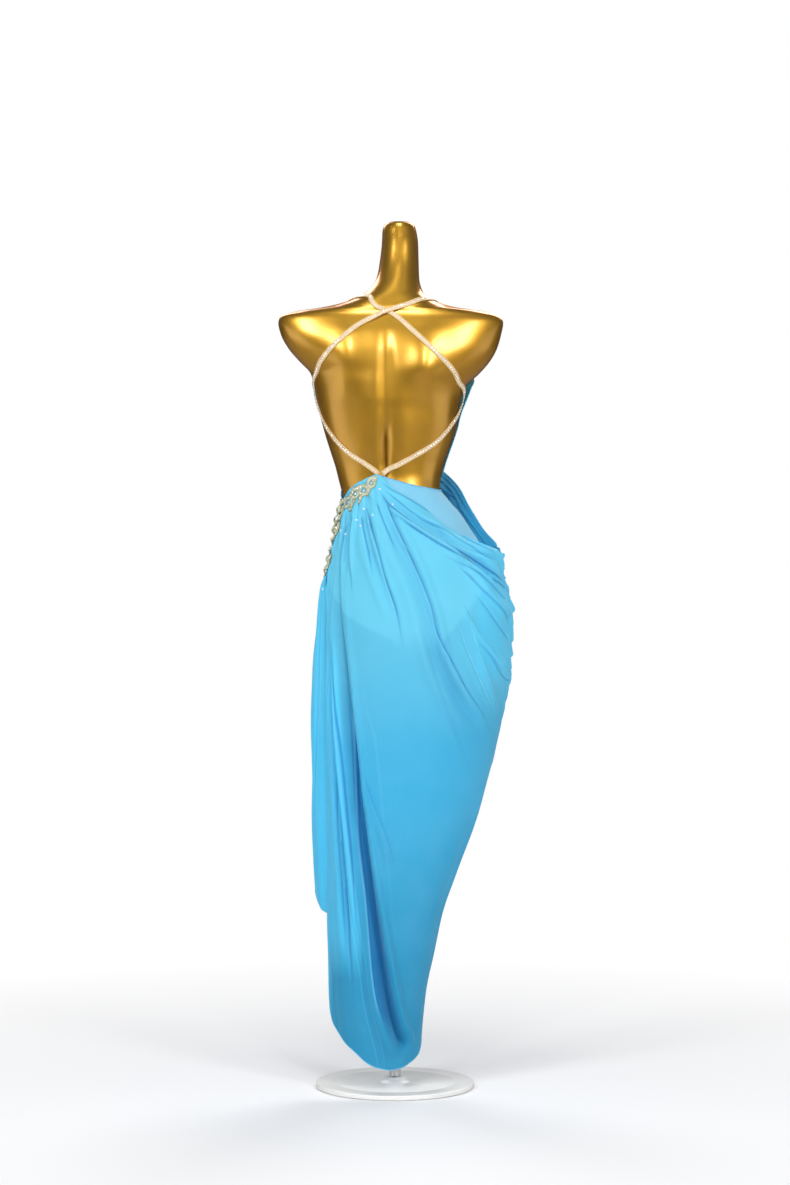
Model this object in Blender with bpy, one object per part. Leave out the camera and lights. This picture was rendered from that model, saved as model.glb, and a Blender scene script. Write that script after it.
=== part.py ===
"""A backless ballroom dance dress on its limbless dress form.

The front of the dress faces -Y and the wearer's left is +X. Heights are above the floor.
A place on the form or on the cloth is given by two numbers: `around`, in degrees, which is 0 at the
wearer's left side, 90 at the middle of the back, 180 at the right side and 270 at the middle of the
front, and `height`, in metres. Every closed solid is made from such places.
"""
import math
from collections import namedtuple

import bmesh
import bpy
import numpy as np
from mathutils import Vector
from mathutils.bvhtree import BVHTree

CLOTH = 0.0016          # wall of the blue mesh cloth, as a solid
LAY = 0.0006            # air between the form and a strap, and over a wall that carries trim
FIT = 0.0011            # air between the form and the cloth that is cut to it
SPARE = 0.0005          # more air where a flat facet could reach a ridge below it
SEAM = 0.0005           # air between two pieces sewn edge to edge
HUG = FIT + CLOTH + 0.0013 + CLOTH / 2      # middle of the skirt's wall where it hugs the briefs
STRAP_WIDTH = 0.0100
STRAP_THICK = 0.0014
APPLIQUE_THICK = 0.0013
BASE_RADIUS = 0.150
BASE_THICK = 0.009
POLE_RADIUS = 0.011
COLLAR_RADIUS = 0.018
COLLAR_TALL = 0.030
LEFT_SEAM = 14.0        # skirt side seam on the wearer's left, open below SLIT_TOP
RIGHT_SEAM = 186.0      # gathered seam on the right hip, open below RIGHT_FREE
SLIT_TOP = 0.972
RIGHT_FREE = 0.790

Section = namedtuple("Section", "height left right middle back front")
Relief = namedtuple("Relief", "facing across height wide tall rise")
Edge = namedtuple("Edge", "around height")
Span = namedtuple("Span", "height start end")
Guide = namedtuple("Guide", "share path")
Crease = namedtuple("Crease", "facing width depth crest fade_in fade_out path")
Band = namedtuple("Band", "around height lift")
Curl = namedtuple("Curl", "along down radius end_radius start sweep width")
Leaf = namedtuple("Leaf", "along down long wide turn")

# ---------------------------------------------------------------- the dress form
FORM = [
    Section(1.640, 0.012, -0.028, -0.004, 0.022, 0.022),
    Section(1.636, 0.020, -0.036, -0.004, 0.031, 0.031),
    Section(1.622, 0.024, -0.041, -0.004, 0.036, 0.036),
    Section(1.601, 0.025, -0.044, -0.002, 0.040, 0.040),
    Section(1.565, 0.029, -0.045, 0.002, 0.043, 0.042),
    Section(1.533, 0.035, -0.046, 0.008, 0.047, 0.046),
    Section(1.506, 0.055, -0.053, 0.013, 0.051, 0.050),
    Section(1.493, 0.078, -0.068, 0.015, 0.053, 0.053),
    Section(1.484, 0.104, -0.087, 0.016, 0.054, 0.054),
    Section(1.476, 0.139, -0.117, 0.017, 0.055, 0.056),
    Section(1.468, 0.190, -0.171, 0.018, 0.057, 0.060),
    Section(1.459, 0.217, -0.198, 0.018, 0.061, 0.065),
    Section(1.447, 0.221, -0.205, 0.017, 0.066, 0.072),
    Section(1.425, 0.216, -0.201, 0.015, 0.074, 0.080),
    Section(1.398, 0.201, -0.193, 0.012, 0.080, 0.086),
    Section(1.375, 0.181, -0.180, 0.009, 0.083, 0.091),
    Section(1.352, 0.160, -0.160, 0.006, 0.085, 0.096),
    Section(1.330, 0.154, -0.137, 0.003, 0.086, 0.099),
    Section(1.303, 0.149, -0.125, 0.001, 0.085, 0.100),
    Section(1.280, 0.144, -0.121, 0.000, 0.082, 0.098),
    Section(1.256, 0.138, -0.118, 0.000, 0.078, 0.094),
    Section(1.228, 0.130, -0.110, 0.000, 0.073, 0.089),
    Section(1.200, 0.121, -0.100, 0.000, 0.069, 0.084),
    Section(1.175, 0.113, -0.092, 0.000, 0.065, 0.081),
    Section(1.151, 0.107, -0.087, 0.000, 0.063, 0.079),
    Section(1.132, 0.102, -0.086, 0.000, 0.063, 0.079),
    Section(1.113, 0.096, -0.099, 0.000, 0.065, 0.080),
    Section(1.085, 0.098, -0.123, 0.001, 0.070, 0.083),
    Section(1.056, 0.104, -0.142, 0.001, 0.077, 0.086),
    Section(1.028, 0.110, -0.160, 0.002, 0.086, 0.089),
    Section(0.995, 0.114, -0.173, 0.003, 0.096, 0.092),
    Section(0.961, 0.118, -0.184, 0.004, 0.104, 0.093),
    Section(0.930, 0.119, -0.190, 0.005, 0.109, 0.093),
    Section(0.904, 0.120, -0.193, 0.006, 0.111, 0.092),
    Section(0.875, 0.120, -0.193, 0.006, 0.110, 0.090),
    Section(0.847, 0.119, -0.192, 0.006, 0.108, 0.087),
    Section(0.826, 0.118, -0.190, 0.006, 0.104, 0.084),
    Section(0.805, 0.115, -0.185, 0.006, 0.096, 0.078),
    Section(0.790, 0.107, -0.176, 0.006, 0.084, 0.068),
    Section(0.780, 0.090, -0.156, 0.006, 0.064, 0.052),
    Section(0.777, 0.068, -0.130, 0.006, 0.045, 0.037),
]
FORM_RELIEF = [
    Relief(+1, 0.017, 1.345, 0.013, 0.080, -0.004),     # spine
    Relief(+1, 0.017, 1.215, 0.011, 0.060, -0.007),
    Relief(+1, 0.092, 1.358, 0.031, 0.058, 0.009),      # shoulder blades
    Relief(+1, -0.058, 1.358, 0.031, 0.058, 0.009),
    Relief(+1, 0.050, 1.235, 0.024, 0.080, 0.004),      # long back muscles
    Relief(+1, -0.016, 1.235, 0.024, 0.080, 0.004),
    Relief(-1, 0.084, 1.300, 0.044, 0.046, 0.032),      # bust
    Relief(-1, -0.062, 1.300, 0.044, 0.046, 0.032),
]
FORM_COLUMNS = 32

# ---------------------------------------------------------------- the briefs
BRIEFS_TOP_BACK = [
    Edge(14, 1.109), Edge(45, 1.133), Edge(77, 1.156), Edge(97, 1.147),
    Edge(126, 1.136), Edge(166, 1.131), Edge(186, 1.131),
]
BRIEFS_LEG_BACK = [
    Edge(14, 0.978), Edge(38, 0.908), Edge(62, 0.870), Edge(76, 0.850), Edge(85, 0.826),
    Edge(97, 0.826), Edge(106, 0.850), Edge(124, 0.910), Edge(142, 0.952), Edge(186, 0.990),
]
BRIEFS_TOP_FRONT = [
    Edge(186, 1.131), Edge(215, 1.150), Edge(250, 1.162), Edge(290, 1.162),
    Edge(330, 1.140), Edge(360, 1.112), Edge(374, 1.109),
]
BRIEFS_LEG_FRONT = [
    Edge(186, 0.990), Edge(215, 0.945), Edge(240, 0.895), Edge(255, 0.850), Edge(264, 0.826),
    Edge(276, 0.826), Edge(285, 0.850), Edge(302, 0.895), Edge(330, 0.945), Edge(374, 0.978),
]
GUSSET_TOP = 0.8255
GUSSET_WIDE = 0.034
GUSSET_NARROW = 0.026
GUSSET_ACROSS = -0.037

# ---------------------------------------------------------------- the halter bodice
BODICE_RIGHT = [
    Span(1.457, 250.0, 243.0), Span(1.430, 252.0, 236.0), Span(1.400, 254.0, 226.0),
    Span(1.375, 256.5, 216.0), Span(1.352, 260.0, 203.0), Span(1.340, 262.5, 188.0),
    Span(1.330, 265.0, 180.6), Span(1.310, 269.0, 180.6), Span(1.298, 269.85, 180.6),
    Span(1.256, 269.85, 179.0), Span(1.200, 269.85, 178.0), Span(1.163, 269.85, 178.0),
]
BODICE_LEFT = [
    Span(1.457, 290.0, 297.0), Span(1.430, 288.0, 304.0), Span(1.400, 286.0, 314.0),
    Span(1.375, 283.5, 324.0), Span(1.352, 280.0, 339.0), Span(1.340, 277.5, 352.0),
    Span(1.330, 275.0, 359.4), Span(1.310, 271.0, 359.4), Span(1.298, 270.15, 357.0),
    Span(1.280, 270.15, 350.0), Span(1.256, 270.15, 338.0), Span(1.225, 270.15, 322.0),
    Span(1.200, 270.15, 308.0), Span(1.180, 270.15, 299.0), Span(1.163, 270.15, 293.0),
]
LOOSE_SIDE = Edge(184.0, 1.312)         # the right cup stands off the form here
LOOSE_RISE = 0.010
LOOSE_AROUND = 17.0
LOOSE_TALL = 0.034

# ---------------------------------------------------------------- the skirt
SKIRT_BACK = [
    Section(1.170, 0.114, -0.095, 0.000, 0.070, 0.085),
    Section(1.119, 0.103, -0.099, 0.000, 0.070, 0.088),
    Section(1.085, 0.108, -0.129, 0.001, 0.080, 0.092),
    Section(1.056, 0.114, -0.165, 0.002, 0.092, 0.096),
    Section(1.028, 0.120, -0.190, 0.003, 0.104, 0.100),
    Section(1.007, 0.123, -0.203, 0.004, 0.112, 0.102),
    Section(0.980, 0.129, -0.202, 0.004, 0.120, 0.104),
    Section(0.942, 0.132, -0.211, 0.005, 0.129, 0.106),
    Section(0.898, 0.133, -0.221, 0.006, 0.134, 0.108),
    Section(0.836, 0.133, -0.217, 0.007, 0.133, 0.106),
    Section(0.801, 0.133, -0.217, 0.007, 0.131, 0.104),
    Section(0.733, 0.133, -0.209, 0.008, 0.125, 0.098),
    Section(0.657, 0.131, -0.194, 0.009, 0.118, 0.090),
    Section(0.572, 0.129, -0.174, 0.011, 0.110, 0.080),
    Section(0.486, 0.128, -0.146, 0.013, 0.102, 0.068),
    Section(0.410, 0.127, -0.116, 0.015, 0.094, 0.058),
    Section(0.330, 0.127, -0.089, 0.017, 0.086, 0.050),
    Section(0.250, 0.124, -0.072, 0.019, 0.080, 0.045),
    Section(0.182, 0.123, -0.059, 0.021, 0.074, 0.042),
    Section(0.116, 0.118, -0.052, 0.023, 0.069, 0.040),
    Section(0.068, 0.111, -0.049, 0.024, 0.065, 0.038),
    Section(0.026, 0.104, -0.046, 0.025, 0.062, 0.036),
]
BACK_TOP = [
    Edge(14, 1.113), Edge(45, 1.137), Edge(66, 1.153), Edge(77, 1.159), Edge(84, 1.148),
    Edge(97.6, 1.122), Edge(113.6, 1.098), Edge(122, 1.071), Edge(130.5, 1.047),
    Edge(145, 1.028), Edge(174, 1.014), Edge(186, 1.006),
]
BACK_HEM = [
    Edge(4, 0.152), Edge(13, 0.125), Edge(30, 0.103), Edge(57, 0.079), Edge(73, 0.061),
    Edge(89, 0.049), Edge(104, 0.045), Edge(120, 0.048), Edge(141, 0.057),
    Edge(164, 0.070), Edge(180, 0.090), Edge(205, 0.136),
]
BACK_SPAN = [
    Span(1.160, 14.0, 186.0), Span(0.972, 14.0, 186.0), Span(0.900, 15.5, 186.0),
    Span(0.790, 15.0, 186.0), Span(0.733, 14.0, 193.0), Span(0.650, 12.0, 203.0),
    Span(0.572, 9.0, 205.0), Span(0.410, 5.0, 205.0), Span(0.030, 5.0, 205.0),
]
# Lines that the cloth's grain follows, each at a share of the panel's width: the second fold,
# the deep fold and the main crease. A path holds (height, around).
BACK_GUIDES = [
    Guide(0.14, [(1.130, 22), (0.980, 21), (0.923, 21), (0.809, 24), (0.657, 29.5), (0.505, 37.6),
                 (0.315, 51.3), (0.182, 61), (0.100, 68), (0.030, 73)]),
    Guide(0.30, [(1.140, 38), (1.075, 32), (0.980, 32.6), (0.885, 35), (0.771, 40.7), (0.676, 46.6),
                 (0.581, 52.2), (0.467, 62), (0.353, 77.4), (0.239, 93.6), (0.144, 110.8),
                 (0.076, 130), (0.030, 136)]),
    Guide(0.60, [(1.160, 77), (1.120, 77), (1.046, 79), (0.971, 90.5), (0.891, 96.8),
                 (0.809, 104.6), (0.733, 119.8), (0.661, 146), (0.572, 152), (0.300, 160),
                 (0.030, 168)]),
]
SKIRT_FRONT = [
    Section(1.172, 0.112, -0.099, 0.000, 0.070, 0.087),
    Section(1.138, 0.106, -0.129, 0.000, 0.070, 0.088),
    Section(1.103, 0.105, -0.146, 0.000, 0.074, 0.091),
    Section(1.085, 0.108, -0.157, 0.001, 0.080, 0.093),
    Section(1.056, 0.114, -0.176, 0.002, 0.092, 0.098),
    Section(1.028, 0.120, -0.197, 0.003, 0.104, 0.102),
    Section(1.007, 0.123, -0.203, 0.004, 0.112, 0.104),
    Section(0.980, 0.129, -0.202, 0.004, 0.116, 0.107),
    Section(0.942, 0.142, -0.211, 0.002, 0.062, 0.110),
    Section(0.898, 0.147, -0.221, 0.000, 0.050, 0.112),
    Section(0.858, 0.150, -0.219, 0.000, 0.050, 0.113),
    Section(0.801, 0.153, -0.217, -0.001, 0.050, 0.114),
    Section(0.760, 0.154, -0.200, -0.003, 0.050, 0.114),
    Section(0.657, 0.158, -0.172, -0.006, 0.050, 0.112),
    Section(0.530, 0.158, -0.140, -0.010, 0.050, 0.108),
    Section(0.419, 0.155, -0.104, -0.012, 0.050, 0.104),
    Section(0.330, 0.150, -0.078, -0.014, 0.050, 0.100),
]
FRONT_TOP = [
    Edge(186, 1.172), Edge(215, 1.172), Edge(270, 1.171), Edge(290, 1.169), Edge(305, 1.162),
    Edge(330, 1.145), Edge(352, 1.124), Edge(374, 1.113),
]
FRONT_HEM = [
    Edge(186, 0.735), Edge(200, 0.718), Edge(220, 0.668), Edge(240, 0.606), Edge(260, 0.545),
    Edge(280, 0.487), Edge(300, 0.438), Edge(320, 0.402), Edge(340, 0.380), Edge(358, 0.366),
    Edge(372, 0.350), Edge(384, 0.338), Edge(396, 0.331),
]
FRONT_SPAN = [
    Span(1.172, 373.6, 206.0), Span(1.155, 373.6, 202.5), Span(1.138, 373.6, 200.8),
    Span(1.100, 373.6, 197.4), Span(1.067, 373.6, 197.0), Span(1.048, 373.6, 195.0),
    Span(1.034, 373.6, 191.2), Span(1.022, 373.6, 188.4), Span(1.010, 373.6, 186.5),
    Span(0.972, 373.6, 186.4),
    Span(0.936, 384.0, 186.4), Span(0.898, 389.0, 186.4), Span(0.800, 392.5, 186.4),
    Span(0.760, 394.0, 187.5), Span(0.600, 398.5, 190.0), Span(0.335, 401.0, 190.0),
]
# The front's two long left creases.
FRONT_GUIDES = [
    Guide(0.22, [(1.150, 345), (1.050, 342), (0.930, 337), (0.780, 336.1), (0.600, 328),
                 (0.390, 318.2)]),
    Guide(0.38, [(1.150, 320), (1.050, 322), (0.900, 322.5), (0.740, 315.1), (0.580, 300.8),
                 (0.420, 287.3)]),
]
# Where a piece's top edge lies close on the briefs, and where it stands away as a cowl.
BACK_HUG = (118.0, 136.0)
FRONT_HUG = (205.0, 232.0)
HUG_DEEP = 0.024

BACK_CREASES = [
    Crease(1, 0.013, 0.011, 0.006, 0.15, 0.25,
           [(0.026, 1.120), (-0.002, 1.046), (-0.038, 0.971), (-0.065, 0.891), (-0.086, 0.809),
            (-0.123, 0.733), (-0.171, 0.661)]),
    Crease(1, 0.009, 0.006, 0.004, 0.10, 0.30,
           [(0.063, 1.110), (0.042, 1.014), (0.009, 0.923), (-0.010, 0.870)]),
    Crease(1, 0.007, 0.004, 0.003, 0.10, 0.40, [(0.053, 1.130), (0.044, 1.066), (0.027, 1.000)]),
    Crease(1, 0.009, 0.010, 0.006, 0.15, 0.12,
           [(0.023, 1.126), (-0.009, 1.092), (-0.086, 1.040), (-0.123, 1.014), (-0.162, 0.984),
            (-0.196, 0.952)]),
    Crease(1, 0.006, 0.006, 0.004, 0.20, 0.15,
           [(-0.020, 1.100), (-0.076, 1.054), (-0.133, 1.020), (-0.196, 0.996)]),
    Crease(1, 0.008, 0.006, 0.003, 0.15, 0.30, [(0.083, 1.110), (0.089, 1.028), (0.091, 0.960)]),
    Crease(1, 0.014, 0.024, 0.009, 0.55, 0.03,
           [(0.091, 1.075), (0.103, 0.980), (0.101, 0.885), (0.091, 0.771), (0.080, 0.676),
            (0.070, 0.581), (0.057, 0.467), (0.040, 0.353), (0.021, 0.239), (0.002, 0.144),
            (-0.025, 0.076)]),
    Crease(1, 0.010, 0.012, 0.005, 0.35, 0.25,
           [(0.121, 0.923), (0.118, 0.809), (0.110, 0.657), (0.099, 0.505), (0.087, 0.315),
            (0.076, 0.182)]),
    Crease(1, 0.011, -0.006, 0.0, 0.25, 0.15,
           [(-0.118, 1.006), (-0.162, 0.955), (-0.190, 0.917), (-0.214, 0.898)]),
    Crease(1, 0.009, -0.007, 0.0, 0.25, 0.10,
           [(-0.129, 0.904), (-0.152, 0.857), (-0.180, 0.819), (-0.208, 0.795)]),
    Crease(1, 0.010, -0.007, 0.0, 0.25, 0.30,
           [(-0.135, 0.885), (-0.152, 0.828), (-0.175, 0.762), (-0.194, 0.705)]),
    Crease(1, 0.012, -0.005, 0.0, 0.25, 0.30,
           [(-0.099, 0.847), (-0.123, 0.794), (-0.142, 0.752), (-0.162, 0.714), (-0.180, 0.666)]),
    Crease(1, 0.014, -0.006, 0.0, 0.30, 0.40,
           [(0.063, 0.600), (0.044, 0.543), (0.019, 0.477), (0.004, 0.400)]),
]
FRONT_CREASES = [
    Crease(-1, 0.016, 0.008, 0.005, 0.15, 0.20,
           [(-0.150, 1.060), (-0.085, 1.035), (-0.010, 1.045), (0.060, 1.085)]),
    Crease(-1, 0.018, 0.010, 0.006, 0.15, 0.20,
           [(-0.180, 1.010), (-0.095, 0.965), (0.000, 0.965), (0.090, 1.020)]),
    Crease(-1, 0.019, 0.012, 0.007, 0.12, 0.25,
           [(-0.195, 0.960), (-0.110, 0.890), (-0.010, 0.860), (0.080, 0.880)]),
    Crease(-1, 0.019, 0.012, 0.007, 0.12, 0.20,
           [(-0.200, 0.920), (-0.120, 0.820), (-0.030, 0.745), (0.060, 0.690)]),
    Crease(-1, 0.019, 0.012, 0.007, 0.15, 0.10,
           [(-0.195, 0.870), (-0.130, 0.770), (-0.060, 0.670), (0.005, 0.560)]),
    Crease(-1, 0.014, 0.014, 0.007, 0.25, 0.04,
           [(0.100, 1.050), (0.112, 0.900), (0.104, 0.740), (0.082, 0.580), (0.064, 0.420)]),
    Crease(-1, 0.014, 0.013, 0.006, 0.25, 0.04,
           [(0.126, 0.930), (0.138, 0.780), (0.134, 0.600), (0.122, 0.390)]),
    Crease(-1, 0.010, 0.009, 0.005, 0.20, 0.08,
           [(-0.180, 0.850), (-0.150, 0.780), (-0.115, 0.690)]),
]

# ---------------------------------------------------------------- straps
OVER = 0.0021           # the strap that passes over the other
STRAPS = {
    "strap_upper_right": [
        Band(246.5, 1.4625, 0), Band(243, 1.4720, 0), Band(230, 1.4810, 0), Band(203, 1.4870, 0),
        Band(176, 1.4885, 0), Band(152, 1.4900, 0), Band(126, 1.4865, 0), Band(101, 1.4745, 0),
        Band(92.0, 1.4680, OVER), Band(88.2, 1.4632, OVER), Band(84.6, 1.4580, OVER),
        Band(73.8, 1.4385, 0), Band(61.3, 1.4100, 0), Band(43.8, 1.3790, 0),
        Band(20.5, 1.3500, 0), Band(9.0, 1.3360, 0), Band(5.5, 1.3230, 0), Band(5.0, 1.3135, 0),
    ],
    "strap_upper_left": [
        Band(293.5, 1.4625, 0), Band(297, 1.4720, 0), Band(310, 1.4815, 0), Band(337, 1.4885, 0),
        Band(364, 1.4915, 0), Band(388, 1.4945, 0), Band(412, 1.4940, 0), Band(429, 1.4835, 0),
        Band(440, 1.4735, 0), Band(450.5, 1.4605, 0), Band(461.5, 1.4255, 0), Band(474.8, 1.3850, 0),
        Band(490.5, 1.3560, 0), Band(510.0, 1.3335, 0), Band(526.0, 1.3225, 0.0010),
        Band(533.5, 1.3138, 0.0030), Band(536.8, 1.3025, 0.0045),
    ],
    "strap_lower_left": [
        Band(5.0, 1.3090, 0), Band(6.6, 1.2980, 0), Band(11.0, 1.2770, 0), Band(20.5, 1.2480, 0),
        Band(42.0, 1.2060, 0), Band(62.0, 1.1810, 0), Band(71.5, 1.1690, 0),
        Band(78.0, 1.1592, 0),
    ],
    "strap_lower_right": [
        Band(176.8, 1.2980, 0.0045), Band(173.5, 1.2870, 0.0030), Band(167.0, 1.2715, 0.0010),
        Band(157.0, 1.2560, 0), Band(136.0, 1.2170, 0), Band(103.0, 1.1800, 0),
        Band(90.0, 1.1690, 0), Band(83.0, 1.1634, 0),
    ],
}
STRAP_STEPS = {"strap_upper_right": 50, "strap_upper_left": 50,
               "strap_lower_left": 22, "strap_lower_right": 22}

# ---------------------------------------------------------------- applique
# `along` runs from the strap point at the middle back to the left side and on to the front;
# `down` is below the skirt's top edge.
APPLIQUE_START = 76.0
APPLIQUE_END = -34.0
APPLIQUE_PITCH = 0.0045
HIP_CURLS = [
    Curl(0.012, 0.010, 0.0085, 0.0060, 200, 330, 0.0056),
    Curl(0.031, 0.016, 0.0095, 0.0065, 20, -320, 0.0056),
    Curl(0.051, 0.011, 0.0090, 0.0065, 190, 330, 0.0056),
    Curl(0.070, 0.017, 0.0100, 0.0070, 20, -330, 0.0058),
    Curl(0.090, 0.014, 0.0105, 0.0070, 170, 330, 0.0058),
    Curl(0.098, 0.036, 0.0105, 0.0070, 70, -330, 0.0058),
    Curl(0.095, 0.059, 0.0090, 0.0060, 100, 320, 0.0054),
    Curl(0.118, 0.022, 0.0095, 0.0065, 190, -320, 0.0056),
    Curl(0.136, 0.014, 0.0080, 0.0055, 170, 310, 0.0054),
]
HIP_LEAVES = [
    Leaf(0.003, 0.004, 0.016, 0.0070, 25), Leaf(0.022, 0.019, 0.018, 0.0080, 60),
    Leaf(0.041, 0.006, 0.018, 0.0075, -10), Leaf(0.041, 0.024, 0.020, 0.0080, 70),
    Leaf(0.061, 0.007, 0.018, 0.0075, 15), Leaf(0.060, 0.028, 0.018, 0.0075, 50),
    Leaf(0.080, 0.004, 0.018, 0.0070, -15), Leaf(0.083, 0.032, 0.020, 0.0080, 80),
    Leaf(0.104, 0.012, 0.020, 0.0080, 30), Leaf(0.110, 0.047, 0.018, 0.0075, 100),
    Leaf(0.086, 0.052, 0.016, 0.0070, 110), Leaf(0.096, 0.074, 0.016, 0.0070, 95),
    Leaf(0.127, 0.010, 0.016, 0.0070, 20), Leaf(0.146, 0.020, 0.016, 0.0070, 40),
]
SIDE_CURLS = [
    Curl(0.101, 0.107, 0.0085, 0.0055, 80, 320, 0.0054),
    Curl(0.103, 0.126, 0.0080, 0.0055, 260, -320, 0.0054),
]
SIDE_LEAVES = [
    Leaf(0.093, 0.117, 0.016, 0.0070, 95), Leaf(0.111, 0.116, 0.016, 0.0070, 80),
    Leaf(0.103, 0.139, 0.014, 0.0065, 95), Leaf(0.099, 0.094, 0.014, 0.0065, 85),
]


# ---------------------------------------------------------------- curves and tables
def column(rows, name):
    return [getattr(row, name) for row in rows]


def monotone(keys, values, at):
    """A smooth curve through the values that never swings past them."""
    keys, values = np.array(keys, float), np.array(values, float)
    order = np.argsort(keys)
    keys, values = keys[order], values[order]
    run = np.diff(keys)
    slope = np.diff(values) / run
    bend = np.concatenate([slope[:1], np.zeros(len(run) - 1), slope[-1:]])
    before, after = slope[:-1], slope[1:]
    agree = before * after > 0
    total = np.where(agree, before + after, 1.0)
    bend[1:-1] = np.where(agree, 2 * before * after / total, 0.0)
    at = np.clip(np.asarray(at, float), keys[0], keys[-1])
    i = np.clip(np.searchsorted(keys, at, side="right") - 1, 0, len(run) - 1)
    t = (at - keys[i]) / run[i]
    return ((1 + 2 * t) * (1 - t) ** 2 * values[i] + t * (1 - t) ** 2 * run[i] * bend[i]
            + t * t * (3 - 2 * t) * values[i + 1] + t * t * (t - 1) * run[i] * bend[i + 1])


def ease(value):
    """0 below 0, 1 above 1, and a smooth step between."""
    t = np.clip(value, 0.0, 1.0)
    return t * t * (3 - 2 * t)


def spline(points, count):
    """A Catmull-Rom curve through the points, sampled at count + 1 places."""
    points = np.array(points, float)
    padded = np.vstack([2 * points[0] - points[1], points, 2 * points[-1] - points[-2]])
    place = np.linspace(0, len(points) - 1, count + 1)
    i = np.minimum(place.astype(int), len(points) - 2)
    t = (place - i)[:, None]
    a, b, c, d = padded[i], padded[i + 1], padded[i + 2], padded[i + 3]
    return 0.5 * (2 * b + (c - a) * t + (2 * a - 5 * b + 4 * c - d) * t ** 2
                  + (3 * b - a - 3 * c + d) * t ** 3)


# ---------------------------------------------------------------- surfaces
def section(rows, around, height):
    """Points of an oval whose sides, depth and middle change with height."""
    heights = column(rows, "height")
    left, right, middle, back, front = (
        monotone(heights, column(rows, name), height)
        for name in ("left", "right", "middle", "back", "front"))
    turn = np.radians(around)
    x = (left + right) / 2 + (left - right) / 2 * np.cos(turn)
    y = middle + np.where(np.sin(turn) > 0, back, front) * np.sin(turn)
    return np.stack([x, y, height + 0 * x], -1)


def form_at(around, height):
    point = section(FORM, around, height)
    faces = np.sin(np.radians(around))
    for bump in FORM_RELIEF:
        spread = ((point[..., 0] - bump.across) / bump.wide) ** 2
        spread = spread + ((height - bump.height) / bump.tall) ** 2
        strength = np.clip(faces * bump.facing, 0, 1)
        point[..., 1] += bump.facing * bump.rise * strength * np.exp(-spread)
    return point


def normal_at(surface, around, height):
    """Outward direction of a surface, from two short steps on it."""
    turn, rise = 0.3, 0.0006
    across = surface(around + turn, height) - surface(around - turn, height)
    up = surface(around, height + rise) - surface(around, height - rise)
    out = np.cross(across, up)
    return out / np.maximum(np.linalg.norm(out, axis=-1, keepdims=True), 1e-12)


def over_form(around, height, lift):
    lift = np.asarray(lift)[..., None] if np.ndim(lift) else lift
    return form_at(around, height) + normal_at(form_at, around, height) * lift


def around_of(rows, across, height, facing):
    """The place around a section that lies at a given distance across."""
    left = monotone(column(rows, "height"), column(rows, "left"), height)
    right = monotone(column(rows, "height"), column(rows, "right"), height)
    cosine = np.clip((across - (left + right) / 2) / ((left - right) / 2), -1, 1)
    turn = np.degrees(np.arccos(cosine))
    return np.where(facing > 0, turn, 360 - turn)


def nearest_on(points, path):
    """Distance of each point to a path, and how far along the path that is, from 0 to 1."""
    steps = np.linalg.norm(np.diff(path, axis=0), axis=1)
    reach = np.concatenate([[0], np.cumsum(steps)])
    best = np.full(points.shape[:-1], np.inf)
    along = np.zeros(points.shape[:-1])
    for start, end, step, before in zip(path[:-1], path[1:], steps, reach):
        line = (end - start) / step
        run = np.clip(((points - start) * line).sum(-1), 0, step)
        gap = np.linalg.norm(points - start - run[..., None] * line, axis=-1)
        closer = gap < best
        best = np.where(closer, gap, best)
        along = np.where(closer, (before + run) / reach[-1], along)
    return best, along


def crease_depth(points, creases, rows):
    """How far the creases push each point out (or in, below 0)."""
    push = np.zeros(points.shape[:-1])
    for crease in creases:
        line = spline(crease.path, 6 * len(crease.path))
        turn = around_of(rows, line[:, 0], line[:, 1], crease.facing)
        gap, along = nearest_on(points, section(rows, turn, line[:, 1]))
        fade = ease(along / crease.fade_in) * ease((1 - along) / crease.fade_out)
        trough = np.exp(-(gap / crease.width) ** 2)
        crests = np.exp(-((gap / crease.width - 2.1) / 0.9) ** 2)
        push += fade * (crease.crest * crests - crease.depth * trough)
    return push


def draped(rows, creases, top, hug, hug_rises, around, height):
    """A skirt wall: hugging the briefs at its top edge, then hanging free, with its creases."""
    hang = section(rows, around, height)
    drop = monotone(column(top, "around"), column(top, "height"), around) - height
    spread = ease((around - hug[0]) / (hug[1] - hug[0]))
    close = np.exp(-np.maximum(drop, 0) ** 2 / HUG_DEEP ** 2) * (spread if hug_rises else 1 - spread)
    push = crease_depth(hang, creases, rows) * (1 - close)
    at_left = ease(np.abs((around + 180) % 360 - 180 - LEFT_SEAM) / 5)
    at_right = ease(np.abs(around - RIGHT_SEAM) / 6)
    push *= np.where(height > SLIT_TOP - 0.02, at_left, 1)
    push *= np.where(height > RIGHT_FREE - 0.02, at_right, 1)
    out = normal_at(lambda a, h: section(rows, a, h), around, height)
    held = over_form(around, height, HUG)
    free = hang + out * push[..., None]
    return held * close[..., None] + free * (1 - close[..., None])


def skirt_back_at(around, height):
    return draped(SKIRT_BACK, BACK_CREASES, BACK_TOP, BACK_HUG, False, around, height)


def skirt_front_at(around, height):
    return draped(SKIRT_FRONT, FRONT_CREASES, FRONT_TOP, FRONT_HUG, True, around, height)


def bodice_at(around, height):
    spread = ((around - LOOSE_SIDE.around) / LOOSE_AROUND) ** 2
    spread = spread + ((height - LOOSE_SIDE.height) / LOOSE_TALL) ** 2
    return over_form(around, height, FIT + CLOTH / 2 + LOOSE_RISE * np.exp(-spread))


# ---------------------------------------------------------------- meshes
def material(name, colour, metallic, roughness):
    made = bpy.data.materials.new(name)
    made.use_nodes = True
    shader = made.node_tree.nodes["Principled BSDF"]
    shader.inputs["Base Color"].default_value = (*colour, 1)
    shader.inputs["Metallic"].default_value = metallic
    shader.inputs["Roughness"].default_value = roughness
    return made


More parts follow.
